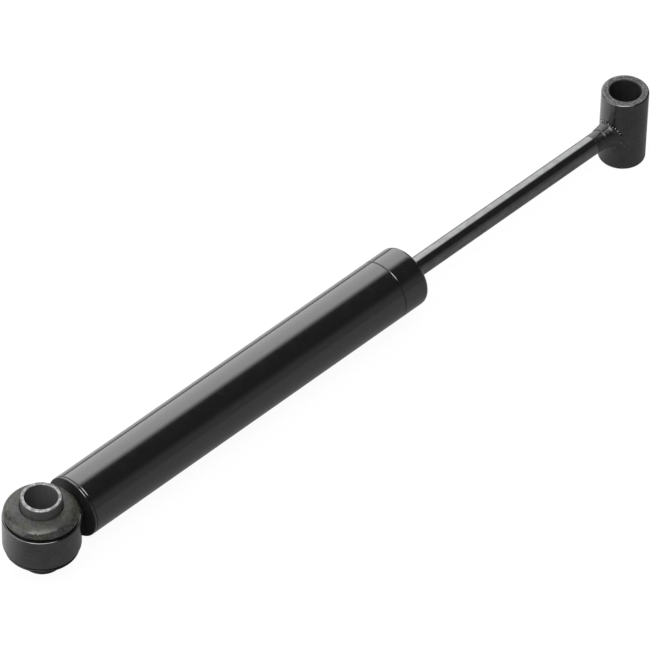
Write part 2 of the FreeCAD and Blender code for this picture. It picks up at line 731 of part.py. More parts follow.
def make_rod_guide(doc, size, at):
    """Stepped guide between the pressure tube and the end cap, with drain holes to the reservoir."""
    body = new_body(doc, "rod_guide", at.guide)
    bore = size.bush_outer / 2
    spigot = size.pressure_inner / 2
    flange = size.cap_inner / 2
    length = size.guide_spigot + size.guide_flange
    recess = bore + size.guide_recess
    vertices = [
        (ZERO, bore),
        (ZERO, spigot - size.guide_bevel),
        (size.guide_bevel, spigot),
        (size.guide_spigot, spigot),
        (size.guide_spigot, flange),
        (length, flange),
        (length, recess),
        (length - size.guide_recess_depth, recess),
        (length - size.guide_recess_depth, bore),
    ]
    revolve(body, vertices)
    drain_circle = (size.pressure_outer + size.cap_inner) / 2
    drill_port_ring(body, drain_circle, size.drain_port, DRAIN_PORTS)


def make_guide_bush(doc, size, at):
    bore = size.rod_diameter + size.running_gap * 2
    washer(doc, "guide_bush", at.guide + size.bush_start, size.bush_width, bore, size.bush_outer)


def make_rod_seal(doc, size, at):
    """Rubber seal with two lips on the rod, open underneath to the drain holes."""
    body = new_body(doc, "rod_seal", at.seal)
    lip = size.rod_diameter / 2 + size.running_gap
    relief = lip + size.seal_relief
    mouth = lip + size.seal_mouth
    outer = size.cap_inner / 2
    foot = size.seal_foot / 2
    height = size.seal_height
    lip_end = size.seal_lead + size.seal_land
    slope_end = lip_end + size.seal_back
    vertices = [
        (ZERO, mouth),
        (size.seal_lead, lip),
        (lip_end, lip),
        (slope_end, relief),
        (height - slope_end, relief),
        (height - lip_end, lip),
        (height - size.seal_lead, lip),
        (height, mouth),
        (height, outer),
        (size.seal_drain, outer),
        (size.seal_drain, foot),
        (ZERO, foot),
    ]
    revolve(body, vertices)


def make_piston_rod(doc, size, at):
    """Rod with a spigot for the piston, a groove for the rebound stop and an end coped to the rod eye."""
    body = new_body(doc, "piston_rod", size.eye_spacing, facing_back=True)
    rod = size.rod_diameter / 2
    spigot = size.spigot_diameter / 2
    groove = size.groove_diameter / 2
    inside_eye = size.rod_eye_outer / 2 - size.rod_root
    stop_start = size.eye_spacing - at.stop - size.stop_width
    stop_end = size.eye_spacing - at.stop
    shoulder = size.eye_spacing - at.rod_shoulder
    end = size.eye_spacing - at.rod_start
    vertices = [
        (inside_eye, ZERO),
        (inside_eye, rod),
        (stop_start, rod),
        (stop_start, groove),
        (stop_end, groove),
        (stop_end, rod),
        (shoulder, rod),
        (shoulder, spigot),
        (end - size.spigot_bevel, spigot),
        (end, spigot - size.spigot_bevel),
        (end, ZERO),
    ]
    revolve(body, vertices)
    cope(body, size.rod_eye_outer)


def make_rod_eye_weld(doc, size):
    """Bead that spreads on to the rod eye, and the collar that runs from it round the rod's end."""
    body = new_body(doc, "rod_eye_weld", size.eye_spacing, facing_back=True)
    rod = size.rod_diameter / 2
    collar = size.collar_outer / 2
    eye = size.rod_eye_outer / 2
    start = eye - size.bead_root
    collar_start = eye + size.collar_start
    collar_end = collar_start + size.collar_width
    vertices = [
        (start, rod),
        (start, size.bead_outer / 2),
        (eye, size.bead_outer / 2),
        (eye + size.bead_ridge_start, size.bead_ridge / 2),
        (collar_start, collar),
        (collar_end, collar),
        (collar_end + size.collar_bevel, rod),
    ]
    revolve(body, vertices)
    cope(body, size.rod_eye_outer)


def make_piston(doc, size, at):
    """Piston with a groove for its band, a hub for the check plate and two rings of ports."""
    body = new_body(doc, "piston", at.piston)
    bore = size.spigot_diameter / 2 + size.hole_gap
    outer = size.piston_outer / 2
    groove = size.band_groove / 2
    hub = size.hub_diameter / 2
    seat = size.piston_height
    groove_width = size.band_width + size.band_side_gap * 2
    groove_start = (seat - groove_width) / 2
    groove_end = groove_start + groove_width
    bevel = size.piston_bevel
    vertices = [
        (ZERO, bore),
        (ZERO, outer - bevel),
        (bevel, outer),
        (groove_start, outer),
        (groove_start, groove),
        (groove_end, groove),
        (groove_end, outer),
        (seat - bevel, outer),
        (seat, outer - bevel),
        (seat, hub),
        (seat + size.valve_space, hub),
        (seat + size.valve_space, bore),
    ]
    revolve(body, vertices)
    drill_port_ring(body, size.outer_port_circle, size.outer_port, PISTON_OUTER_PORTS)
    drill_port_ring(body, size.inner_port_circle, size.inner_port, INNER_PORTS)


def make_piston_band(doc, size, at):
    """Slit wear band that carries the piston in the pressure tube."""
    start = at.piston + (size.piston_height - size.band_width) / 2
    inner = size.band_groove + size.running_gap * 2
    outer = size.pressure_inner - size.band_wall_gap * 2
    body = washer(doc, "piston_band", start, size.band_width, inner, outer)
    cut_slot(body, inner / 2, outer / 2, size.band_slit)


def make_rebound_parts(doc, size, at):
    """Steel stop ring in the rod's groove, and the rubber ring that meets the guide."""
    washer(doc, "rebound_stop", at.stop, size.stop_width, size.groove_diameter, size.stop_outer)
    buffer_bore = size.rod_diameter + size.buffer_bore_gap * 2
    washer(doc, "rebound_buffer", at.buffer, size.buffer_width, buffer_bore, size.buffer_outer)


def make_foot_valve(doc, size, at):
    make_base_valve_body(doc, size, at)
    make_shims(doc, size, "compression_shim", at.valve_underside, size.bolt_diameter)
    make_base_valve_bolt(doc, size, at)
    make_valve_plate(doc, size, "intake_plate", at.valve_seat)
    make_valve_spring(doc, size, "intake_spring", at.valve_seat)
    bolt_hole = size.bolt_diameter + size.hole_gap * 2
    washer(doc, "valve_retainer", at.retainer, size.retainer_width, bolt_hole, size.retainer_outer)
    make_hex_nut(
        doc, size, "base_valve_nut", at.base_nut, size.bolt_flats, size.bolt_nut_height, size.bolt_diameter
    )


def make_piston_stack(doc, size, at):
    make_piston(doc, size, at)
    make_piston_band(doc, size, at)
    make_valve_plate(doc, size, "check_plate", at.piston_seat)
    make_valve_spring(doc, size, "check_spring", at.piston_seat)
    make_shims(doc, size, "rebound_shim", at.piston, size.spigot_diameter)
    spigot_hole = size.spigot_diameter + size.hole_gap * 2
    washer(doc, "backing_washer", at.backing_washer, size.retainer_width, spigot_hole, size.retainer_outer)
    washer(doc, "spacer_washer", at.spacer, size.spacer_width, spigot_hole, size.spacer_outer)
    make_hex_nut(
        doc, size, "piston_nut", at.piston_nut, size.piston_nut_flats, size.piston_nut_height,
        size.spigot_diameter,
    )


def make_rod_end_packing(doc, size, at):
    make_rod_guide(doc, size, at)
    make_guide_bush(doc, size, at)
    make_rod_seal(doc, size, at)
    washer(doc, "seal_washer", at.seal_washer, size.seal_washer_width, size.cap_hole, size.cap_inner)
    make_rod_wiper(doc, size)


def check_and_export(doc):
    """Stops on any failed object or shape, and writes one file for each piece."""
    for item in doc.Objects:
        if "Invalid" in item.State or "Error" in item.State:
            raise ValueError(f"{item.Label} failed: {item.State}")
    os.makedirs("parts", exist_ok=True)
    for body in doc.findObjects("PartDesign::Body"):
        if body.Shape.isNull() or not body.Shape.isValid():
            raise ValueError(f"{body.Label} has no valid shape")
        body.Shape.exportStep(f"parts/{body.Label}.step")


def main():
    doc = FreeCAD.newDocument("trailer_damper")
    size = fill_sheet(doc)
    at = stations(size)
    make_eye_ring(doc, size)
    make_eye_bush(doc, size)
    make_eye_tube(doc, size, "eye_sleeve", ZERO, ZERO, size.sleeve_outer, size.sleeve_corner)
    make_base_cap(doc, size, at)
    make_eye_weld(doc, size)
    make_reservoir_tube(doc, size, at)
    make_pressure_tube(doc, size, at)
    make_foot_valve(doc, size, at)
    make_end_cap(doc, size, at)
    make_rod_end_packing(doc, size, at)
    make_piston_rod(doc, size, at)
    make_eye_tube(
        doc, size, "rod_eye", size.eye_spacing, size.rod_eye_rise, size.rod_eye_outer, size.rod_eye_corner
    )
    make_rod_eye_weld(doc, size)
    make_piston_stack(doc, size, at)
    make_rebound_parts(doc, size, at)
    doc.recompute()
    check_and_export(doc)


main()
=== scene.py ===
"""Looks of the trailer damper: its painted, chromed and rubber surfaces, the studio and the camera."""

import json
import math
import random

import bmesh
import bpy
from mathutils import Matrix, Vector, noise


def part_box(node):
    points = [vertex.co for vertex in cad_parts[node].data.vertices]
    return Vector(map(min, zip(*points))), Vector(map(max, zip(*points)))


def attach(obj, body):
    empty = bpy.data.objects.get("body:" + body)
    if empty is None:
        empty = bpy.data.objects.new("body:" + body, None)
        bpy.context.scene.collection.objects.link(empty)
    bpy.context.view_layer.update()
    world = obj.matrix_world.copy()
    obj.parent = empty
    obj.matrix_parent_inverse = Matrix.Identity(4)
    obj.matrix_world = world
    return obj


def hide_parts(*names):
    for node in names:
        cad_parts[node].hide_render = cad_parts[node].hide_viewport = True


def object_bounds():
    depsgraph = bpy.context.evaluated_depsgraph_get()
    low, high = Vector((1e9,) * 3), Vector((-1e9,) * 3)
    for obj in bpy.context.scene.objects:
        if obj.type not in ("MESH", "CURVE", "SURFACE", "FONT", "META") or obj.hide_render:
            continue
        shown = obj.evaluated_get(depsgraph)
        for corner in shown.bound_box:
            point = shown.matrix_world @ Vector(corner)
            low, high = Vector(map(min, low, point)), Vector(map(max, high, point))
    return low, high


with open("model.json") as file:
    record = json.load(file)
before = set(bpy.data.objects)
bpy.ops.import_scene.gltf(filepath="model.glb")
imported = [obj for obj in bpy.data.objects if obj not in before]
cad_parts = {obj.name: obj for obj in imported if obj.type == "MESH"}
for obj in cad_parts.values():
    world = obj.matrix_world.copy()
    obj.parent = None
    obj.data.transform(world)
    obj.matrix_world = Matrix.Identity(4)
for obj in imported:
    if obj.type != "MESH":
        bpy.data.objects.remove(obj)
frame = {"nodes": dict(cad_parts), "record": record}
cad_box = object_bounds()

MM = 0.001
IMAGE_SIDE = 650

# Camera, fitted to the photograph's outlines
CAMERA_AZIMUTH = -46.2785
CAMERA_ELEVATION = 44.2671
CAMERA_ROLL = 1.2732
CAMERA_TARGET = Vector((236.684, 0, 5.130)) * MM
CAMERA_DISTANCE = 4111.47 * MM
FOCAL_PIXELS = 6800.39
SENSOR_WIDTH = 36.0

# Sizes that the frame's boxes don't give. Each EDGE is the rounding of an edge.
RING_WALL = 3.5 * MM
RING_EDGE = 1.0 * MM
RING_MOUTH_EDGE = 0.4 * MM
EYE_WALL = 5.0 * MM
MOUTH_EDGE = 0.8 * MM
OUTER_EDGE = 1.3 * MM
FOOT_EDGE = 0.6 * MM
SLEEVE_WALL = 2.5 * MM
SLEEVE_EDGE = 0.8 * MM
SLEEVE_MOUTH_EDGE = 0.4 * MM
TUBE_WALL = 1.5 * MM
RUNNING_GAP = 0.03 * MM
BASE_RIM = 1.75 * MM
BOSS_RADIUS = 7.0 * MM
BASE_CUP_RADIUS = 15.5 * MM
BASE_PLATE = 4.0 * MM
SPIGOT_EDGE = 0.5 * MM
INNER_EDGE = 0.3 * MM
CAP_SPIGOT = 7.8 * MM
CAP_INNER_RADIUS = 17.3 * MM
CAP_WALL = 4.0 * MM
CAP_HOLE_RADIUS = 7.2 * MM
CAP_CORNER = 3.3 * MM
CAP_MOUTH_EDGE = 0.25 * MM
WIPER_SEAT = 2.8 * MM
WIPER_RELIEF = 0.5 * MM
WIPER_LAND = 1.2 * MM
WIPER_TIP = 0.6 * MM
WIPER_LEAD = 0.9 * MM
ROD_RADIUS = 6.5 * MM
ROD_END_EDGE = 0.6 * MM
SPIGOT_RADIUS = 4.0 * MM
GROOVE_RADIUS = 5.8 * MM
COPE_SINK = 0.05 * MM

# Parting lines of the bush's mould, in degrees from +X towards +Y
PART_LINES = (219, 39)
PART_LINE_DEPTH = 0.16 * MM
PART_LINE_REACH = 0.45 * MM

# The black paint on the rod's last stretch
PAINT_EDGE = 472.6 * MM
PAINT_SLOPE = 0.15 * MM
PAINT_FILM = 0.02 * MM
PAINT_WANDER = 0.22 * MM

# The seams between tube, base and cap
SOFT_EDGE = 0.6 * MM
SEAM_GAP = 0.12 * MM
SEAM_DEPTH = 1.2 * MM

# How roundings are meshed: a short flat strip holds the shading on both sides of each arc
HOLD = 0.12 * MM
ARC_STEPS = 5
SHARP_ANGLE = math.radians(40)


def smooth_faces(mesh):
    mesh.polygons.foreach_set("use_smooth", [True] * len(mesh.polygons))
    mesh.set_sharp_from_angle(angle=SHARP_ANGLE)


def new_piece(name, vertices, faces, body, finishes):
    """A mesh piece that rides on a CAD body, with its materials."""
    mesh = bpy.data.meshes.new(name)
    mesh.from_pydata(vertices, [], faces)
    builder = bmesh.new()
    builder.from_mesh(mesh)
    bmesh.ops.recalc_face_normals(builder, faces=builder.faces)
    builder.to_mesh(mesh)
    builder.free()
    smooth_faces(mesh)
    piece = bpy.data.objects.new(name, mesh)
    bpy.context.scene.collection.objects.link(piece)
    for finish in finishes:
        mesh.materials.append(finish)
    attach(piece, body)
    return piece


def rounded(corners):
    """Points of a closed outline, with an arc at each rounding, from (along, radius, rounding) corners."""
    points = []
    count = len(corners)
    for number, (along, radius, rounding) in enumerate(corners):
        corner = Vector((along, radius))
        if rounding <= 0:
            points.append(corner)
            continue
        before = (Vector(corners[number - 1][:2]) - corner).normalized()
        after = (Vector(corners[(number + 1) % count][:2]) - corner).normalized()
        half = before.angle(after) / 2
        reach = rounding / math.tan(half)
        centre = corner + (before + after).normalized() * rounding / math.sin(half)
        start = corner + before * reach - centre
        end = corner + after * reach - centre
        sweep = math.atan2(start.x * end.y - start.y * end.x, start.dot(end))
        points.append(corner + before * (reach + HOLD))
        for step in range(ARC_STEPS + 1):
            turn = Matrix.Rotation(sweep * step / ARC_STEPS, 2)
            points.append(centre + turn @ start)
        points.append(corner + after * (reach + HOLD))
    return points


def through(points, steps):
    """Points of a smooth curve through the given ones, which a Catmull-Rom spline joins."""
    path = [Vector(point) for point in points]
    path = [path[0] * 2 - path[1]] + path + [path[-1] * 2 - path[-2]]
    curve = []
    for p0, p1, p2, p3 in zip(path, path[1:], path[2:], path[3:]):
        for step in range(steps):
            t = step / steps
            curve.append(
                (p1 * 2 + (p2 - p0) * t + (p0 * 2 - p1 * 5 + p2 * 4 - p3) * t**2
                 + (p1 * 3 - p0 - p2 * 3 + p3) * t**3) / 2
            )
    curve.append(path[-2])
    return curve


def turned(name, outline, axis, centre, body, finishes, segments=160, finish_at=None):
    """A closed solid turned round an axis through centre, from (along, radius) points."""
    vertices = []
    rings = []
    for along, radius in outline:
        first = len(vertices)
        steps = 1 if radius < 1e-9 else segments
        for step in range(steps):
            turn = 2 * math.pi * step / segments
            across, up = radius * math.cos(turn), radius * math.sin(turn)
            place = (along, across, up) if axis == "X" else (across, up, along)
            vertices.append(Vector(centre) + Vector(place))
        rings.append([first + step % steps for step in range(segments)])
    faces = []
    kinds = []
    count = len(outline)
    for number, ring in enumerate(rings):
        following = rings[(number + 1) % count]
        if ring[0] == ring[1] and following[0] == following[1]:
            continue
        middle = (Vector(outline[number]) + Vector(outline[(number + 1) % count])) / 2
        kind = finish_at(*middle) if finish_at else 0
        for step in range(segments):
            beyond = (step + 1) % segments
            corners = [ring[step], ring[beyond], following[beyond], following[step]]
            faces.append(list(dict.fromkeys(corners)))
            kinds.append(kind)
    piece = new_piece(name, vertices, faces, body, finishes)
    piece.data.polygons.foreach_set("material_index", kinds)
    return piece


def reshape(piece, move):
    """Moves each vertex to where move puts it."""
    for vertex in piece.data.vertices:
        vertex.co = move(vertex.co.copy())
    piece.data.update()


def rough(place, size, seed=0.0):
    """Smooth noise from -1 to 1 whose bumps are about size wide."""
    return noise.noise(place / size + Vector((seed, seed * 0.7, -seed)))


class Nodes:
    """Node building in one tree."""

    def __init__(self, tree):
        self.tree = tree

    def node(self, kind, inputs=None, **settings):
        made = self.tree.nodes.new(f"ShaderNode{kind}")
        for setting, value in settings.items():
            setattr(made, setting, value)
        for socket, value in (inputs or {}).items():
            if isinstance(value, bpy.types.NodeSocket):
                self.tree.links.new(value, made.inputs[socket])
            else:
                made.inputs[socket].default_value = value
        return made

    def math(self, operation, first, second=0.0):
        return self.node("Math", {0: first, 1: second}, operation=operation).outputs[0]

    def ramp(self, value, low, high, to_low=0.0, to_high=1.0):
        inputs = {"Value": value, "From Min": low, "From Max": high, "To Min": to_low, "To Max": to_high}
        return self.node("MapRange", inputs, interpolation_type="SMOOTHSTEP").outputs["Result"]

    def radius(self, first, second):
        """Distance from an axis, from the two coordinates across it."""
        squares = [self.math("MULTIPLY", part, part) for part in (first, second)]
        return self.math("SQRT", self.math("ADD", *squares))

    def box(self, level, *edges):
        """A level that holds inside all the edges, each a (value, dark from, full from) triple."""
        for value, dark, full in edges:
            level = self.math("MULTIPLY", self.ramp(value, dark, full), level)
        return level


class Finish(Nodes):
    """One node material, built round its Principled shader."""

    def __init__(self, name, **constants):
        self.material = bpy.data.materials.new(name)
        self.material.use_nodes = True
        super().__init__(self.material.node_tree)
        self.shader = self.tree.nodes["Principled BSDF"]
        self.bump_input = None
        for socket, value in constants.items():
            self.shader.inputs[socket.replace("_", " ")].default_value = value
        self.place = self.node("TexCoord").outputs["Object"]

    def stretched(self, scale):
        """The object's coordinates, scaled apart along the three axes."""
        return self.node("Mapping", {"Vector": self.place, "Scale": scale}).outputs["Vector"]

    def noise(self, size, detail=4.0, roughness=0.55, vector=None):
        inputs = {"Scale": 1 / size, "Detail": detail, "Roughness": roughness}
        return self.node("TexNoise", {"Vector": vector or self.place, **inputs}).outputs["Fac"]

    def specks(self, size, share, seed=0.0):
        """1 inside small round specks, which fill that share of their cells' width."""
        moved = self.node("Mapping", {"Vector": self.place, "Location": (seed, seed, seed)})
        cells = self.node("TexVoronoi", {"Vector": moved.outputs["Vector"], "Scale": 1 / size})
        return self.ramp(cells.outputs["Distance"], share, share * 0.6)

    def mix(self, share, first, second):
        """A colour between two, by a share from 0 to 1."""
        made = self.node("Mix", {"Factor": share}, data_type="RGBA")
        for socket, value in ((made.inputs[6], first), (made.inputs[7], second)):
            if isinstance(value, bpy.types.NodeSocket):
                self.tree.links.new(value, socket)
            else:
                socket.default_value = value
        return made.outputs[2]

    def link(self, value, socket):
        self.tree.links.new(value, self.shader.inputs[socket])

    def bump(self, height, distance):
        """Adds a bump on top of the ones before it. A height of 1 stands distance metres high."""
        inputs = {"Height": height, "Distance": distance, "Strength": 1.0}
        if self.bump_input is not None:
            inputs["Normal"] = self.bump_input
        self.bump_input = self.node("Bump", inputs).outputs["Normal"]
        self.link(self.bump_input, "Normal")

    def axis_parts(self):
        parts = self.node("SeparateXYZ", {"Vector": self.place})
        return parts.outputs["X"], parts.outputs["Y"], parts.outputs["Z"]


def grey(value, warmth=0.0):
    return (value * (1 + warmth), value, value * (1 - warmth), 1)


def gloss_paint():
    """Black enamel: smooth, with faint orange peel, dust nibs and a little unevenness in its gloss."""
    paint = Finish(
        "gloss_paint", IOR=1.5, Coat_Weight=1.0, Coat_IOR=2.2, Coat_Roughness=0.035, Metallic=0.0,
    )
    cloud = paint.noise(14 * MM, 3)
    dusty = paint.ramp(paint.noise(9 * MM), 0.5, 0.62)
    dust = paint.math("MULTIPLY", paint.specks(2.6 * MM, 0.13), dusty)
    colour = paint.mix(cloud, grey(0.0055), grey(0.0085, -0.02))
    paint.link(paint.mix(paint.math("MULTIPLY", dust, 0.5), colour, grey(0.05, 0.03)), "Base Color")
    paint.link(paint.ramp(paint.noise(6 * MM, 5), 0.3, 0.7, 0.2, 0.3), "Roughness")
    paint.bump(paint.noise(1.7 * MM, 1.0), 0.006 * MM)
    paint.bump(dust, 0.02 * MM)
    return paint.material


def satin_paint(name, dark, light, coat_roughness):
    """Duller black paint, with rubbed patches and specks."""
    paint = Finish(name, IOR=1.75, Coat_Weight=0.55, Coat_IOR=1.7, Coat_Roughness=coat_roughness)
    cloud = paint.noise(8 * MM, 4)
    dusty = paint.ramp(paint.noise(5 * MM), 0.45, 0.6)
    specks = paint.math("MULTIPLY", paint.specks(1.3 * MM, 0.2), dusty)
    colour = paint.mix(paint.ramp(cloud, 0.35, 0.7), grey(dark), grey(light, 0.01))
    paint.link(paint.mix(paint.math("MULTIPLY", specks, 0.6), colour, grey(0.11, 0.03)), "Base Color")
    paint.link(paint.ramp(paint.noise(4 * MM, 2), 0.3, 0.7, 0.22, 0.34), "Roughness")
    paint.bump(paint.noise(2.2 * MM, 1), 0.003 * MM)
    paint.bump(specks, 0.015 * MM)
    return paint.material


def shaded_paint():
    """Paint in the narrow space behind the eye ring: a dull, dark copy of the black paint, as painted
    shade there.
    """
    paint = Finish("shaded_paint", IOR=1.35)
    cloud = paint.ramp(paint.noise(4 * MM, 4), 0.35, 0.7)
    paint.link(paint.mix(cloud, grey(0.026), grey(0.04, 0.02)), "Base Color")
    paint.link(paint.ramp(cloud, 0.0, 1.0, 0.3, 0.42), "Roughness")
    paint.bump(paint.noise(0.9 * MM, 3), 0.006 * MM)
    return paint.material


def end_face_paint(centre_x, inner, outer):
    """Thin satin paint over a sawn end: bare where it has rubbed through, most of all along its edges."""
    paint = Finish("end_face_paint", IOR=1.45, Coat_Weight=0.25, Coat_IOR=1.6, Coat_Roughness=0.25)
    worn = paint.ramp(paint.noise(1.3 * MM, 5, 0.7), 0.42, 0.62)
    broad = paint.ramp(paint.noise(9 * MM, 2), 0.35, 0.65)
    colour = paint.mix(worn, grey(0.01), grey(0.25, 0.01))
    colour = paint.mix(paint.math("MULTIPLY", broad, 0.5), colour, grey(0.03))
    x, y, _ = paint.axis_parts()
    reach = paint.radius(paint.math("SUBTRACT", x, centre_x), y)
    strip = 0.5 * MM
    mouth_rub = paint.ramp(reach, inner + strip, inner)
    outer_rub = paint.ramp(reach, outer - strip, outer)
    rub = paint.math("ADD", mouth_rub, outer_rub)
    rub = paint.math("MULTIPLY", rub, paint.ramp(paint.noise(3 * MM, 3), 0.35, 0.6, 0.3, 1.0))
    paint.link(paint.mix(rub, colour, grey(0.22, 0.01)), "Base Color")
    paint.link(paint.math("MAXIMUM", worn, rub), "Metallic")
    paint.link(paint.ramp(worn, 0.0, 1.0, 0.42, 0.3), "Roughness")
    sawn = paint.noise(1.0, 2, 0.6, paint.stretched((2500, 260, 400)))
    paint.bump(sawn, 0.02 * MM)
    paint.bump(worn, 0.015 * MM)
    return paint.material


def bore_paint():
    """Overspray and dark oxide inside a bore, drawn along it."""
    paint = Finish("bore_paint", IOR=1.6)
    streaks = paint.noise(1.0, 4, 0.6, paint.stretched((900, 900, 90)))
    patches = paint.ramp(paint.noise(5 * MM, 4), 0.4, 0.7)
    colour = paint.mix(streaks, grey(0.012), grey(0.05, 0.02))
    paint.link(paint.mix(paint.math("MULTIPLY", patches, 0.5), colour, grey(0.04)), "Base Color")
    paint.link(paint.ramp(streaks, 0.3, 0.7, 0.35, 0.55), "Roughness")
    paint.bump(streaks, 0.02 * MM)
    return paint.material


def weld_paint():
    """Satin paint that has run thin on a weld, with small craters."""
    paint = Finish("weld_paint", IOR=1.75, Coat_Weight=0.5, Coat_IOR=1.6, Coat_Roughness=0.2)
    cloud = paint.ramp(paint.noise(2.2 * MM, 5), 0.35, 0.7)
    pits = paint.specks(0.9 * MM, 0.22, 3.0)
    paint.link(paint.mix(cloud, grey(0.008), grey(0.024, 0.02)), "Base Color")
    paint.link(paint.ramp(cloud, 0.0, 1.0, 0.22, 0.4), "Roughness")
    paint.bump(paint.noise(1.2 * MM, 2), 0.007 * MM)
    paint.bump(pits, -0.015 * MM)
    return paint.material


def painted_toe_shade():
    """Near-black paint along a weld's toe, with almost no reflection: painted shade of the undercut there.
    """
    toe_shade_paint = Finish("painted_toe_shade", IOR=1.3, Specular_IOR_Level=0.05)
    cloud = toe_shade_paint.noise(0.8 * MM, 4)
    # Painted shade: a near-black colour that stands in for the shade in the toe's groove
    toe_shade_paint.link(toe_shade_paint.mix(cloud, grey(0.001), grey(0.004, 0.03)), "Base Color")
    toe_shade_paint.link(toe_shade_paint.ramp(cloud, 0.3, 0.7, 0.7, 0.9), "Roughness")
    toe_shade_paint.bump(cloud, 0.05 * MM)
    return toe_shade_paint.material


def spatter_steel():
    """Beads of spatter with a thin broken coat of paint on bright scale."""
    steel = Finish("spatter_steel", Metallic=0.7)
    cover = steel.ramp(steel.noise(0.7 * MM, 4), 0.42, 0.6)
    steel.link(steel.mix(cover, grey(0.85), grey(0.32)), "Base Color")
    steel.link(steel.ramp(cover, 0.0, 1.0, 0.3, 0.45), "Roughness")
    steel.bump(cover, 0.01 * MM)
    return steel.material


def bush_rubber():
    """Moulded natural rubber, olive grey with a bloom, dust in its hollows and specks."""
    rubber = Finish("bush_rubber", IOR=1.62)
    bloom = rubber.ramp(rubber.noise(7 * MM, 3), 0.35, 0.68)
    tint = rubber.ramp(rubber.noise(11 * MM, 2, vector=rubber.stretched((1, 1, 0.5))), 0.42, 0.6)
    base = rubber.mix(bloom, grey(0.055), grey(0.088))
    base = rubber.mix(rubber.math("MULTIPLY", tint, 0.8), base, (0.078, 0.079, 0.056, 1))
    mottle = rubber.ramp(rubber.noise(1.9 * MM, 3), 0.42, 0.6)
    base = rubber.mix(rubber.math("MULTIPLY", mottle, 0.6), base, grey(0.022))
    grimy = rubber.ramp(rubber.noise(4 * MM), 0.45, 0.6)
    dark = rubber.math("MULTIPLY", rubber.specks(1.9 * MM, 0.22), grimy)
    base = rubber.mix(rubber.math("MULTIPLY", dark, 0.8), base, grey(0.02))
    dusty = rubber.ramp(rubber.noise(6 * MM, 2), 0.5, 0.65)
    light = rubber.math("MULTIPLY", rubber.specks(1.5 * MM, 0.24, 5.0), dusty)
    base = rubber.mix(rubber.math("MULTIPLY", light, 0.75), base, (0.24, 0.23, 0.19, 1))
    x, y, z = rubber.axis_parts()
    # Painted shade: the lower flange, under the ring, darkens towards the bottom
    painted_underside_shade = rubber.ramp(z, -11 * MM, -13 * MM)
    rubber.link(rubber.mix(painted_underside_shade, base, grey(0.02)), "Base Color")
    rim = rubber.ramp(rubber.radius(x, y), 19 * MM, 21 * MM)
    rubbed = rubber.math("MULTIPLY", rim, rubber.ramp(z, 0, 10 * MM))
    dull = rubber.ramp(rubber.noise(2.5 * MM, 5), 0.3, 0.7, 0.36, 0.5)
    rubber.link(rubber.math("SUBTRACT", dull, rubber.math("MULTIPLY", rubbed, 0.26)), "Roughness")
    rubber.bump(rubber.noise(0.8 * MM, 4), 0.03 * MM)
    rubber.bump(light, 0.04 * MM)
    return rubber.material


def sleeve_face():
    """The sleeve's ends, faced on a lathe and worn bright, with a few dark nicks."""
    steel = Finish("sleeve_face", Metallic=1.0)
    x, y, _ = steel.axis_parts()
    across = steel.node("CombineXYZ", {"X": steel.math("MULTIPLY", steel.radius(x, y), 3200)}).outputs[0]
    rings = steel.noise(1.0, 3, 0.6, across)
    patches = steel.ramp(steel.noise(2.6 * MM, 3), 0.36, 0.66)
    handled = steel.ramp(steel.noise(4 * MM), 0.5, 0.6)
    nicks = steel.math("MULTIPLY", steel.specks(1.1 * MM, 0.2, 2.0), handled)
    colour = steel.mix(patches, grey(0.25), grey(0.45))
    colour = steel.mix(steel.math("MULTIPLY", nicks, 0.7), colour, grey(0.12, 0.03))
    steel.link(colour, "Base Color")
    steel.link(steel.ramp(patches, 0.0, 1.0, 0.42, 0.26), "Roughness")
    steel.bump(rings, 0.012 * MM)
    steel.bump(nicks, -0.05 * MM)
    return steel.material


def sleeve_wall(name, dark, light):
    """The sleeve's drawn walls, dull with oxide and rubber residue."""
    steel = Finish(name, Metallic=0.4)
    streaks = steel.noise(1.0, 4, 0.6, steel.stretched((1100, 1100, 70)))
    stain = steel.ramp(steel.noise(4 * MM, 5), 0.38, 0.66)
    colour = steel.mix(streaks, grey(dark), grey(light))
    colour = steel.mix(steel.math("MULTIPLY", stain, 0.6), colour, grey((dark + light) / 2, 0.03))
    steel.link(colour, "Base Color")
    steel.link(steel.ramp(streaks, 0.3, 0.7, 0.36, 0.52), "Roughness")
    steel.bump(streaks, 0.015 * MM)
    return steel.material


def rod_chrome():
    """Hard chrome, ground and polished, with hairline marks along the stroke and an oil film."""
    chrome = Finish("rod_chrome", Metallic=1.0)
    along = chrome.noise(1.0, 3, 0.6, chrome.stretched((35, 1800, 1800)))
    film = chrome.ramp(chrome.noise(5 * MM, 4), 0.38, 0.66)
    marks = chrome.ramp(along, 0.6, 0.68)
    colour = chrome.mix(film, grey(0.31), grey(0.38, -0.01))
    chrome.link(chrome.mix(chrome.math("MULTIPLY", marks, 0.3), colour, grey(0.22)), "Base Color")
    chrome.link(chrome.ramp(film, 0.0, 1.0, 0.11, 0.07), "Roughness")
    ground = chrome.noise(1.0, 2, 0.5, chrome.stretched((2600, 60, 60)))
    chrome.bump(ground, 0.0012 * MM)
    chrome.bump(marks, -0.003 * MM)
    return chrome.material


def hidden_metal(name, colour, roughness, relief=0.01 * MM):
    """Machined metal inside the damper: tool marks across its turning axis and a film of oil."""
    metal = Finish(name, Metallic=1.0)
    marks = metal.noise(1.0, 3, 0.6, metal.stretched((1200, 80, 80)))
    film = metal.ramp(metal.noise(6 * MM, 4), 0.35, 0.7)
    dark = [channel * 0.7 for channel in colour[:3]] + [1]
    metal.link(metal.mix(film, dark, colour), "Base Color")
    metal.link(metal.ramp(marks, 0.3, 0.7, roughness * 0.8, roughness * 1.25), "Roughness")
    metal.bump(marks, relief)
    return metal.material


def seal_rubber():
    """Smooth black seal rubber with a film of oil."""
    rubber = Finish("seal_rubber", IOR=1.5)
    cloud = rubber.noise(3 * MM, 4)
    rubber.link(rubber.mix(cloud, grey(0.014), grey(0.032)), "Base Color")
    rubber.link(rubber.ramp(cloud, 0.3, 0.7, 0.32, 0.5), "Roughness")
    rubber.bump(rubber.noise(0.6 * MM, 4), 0.012 * MM)
    return rubber.material


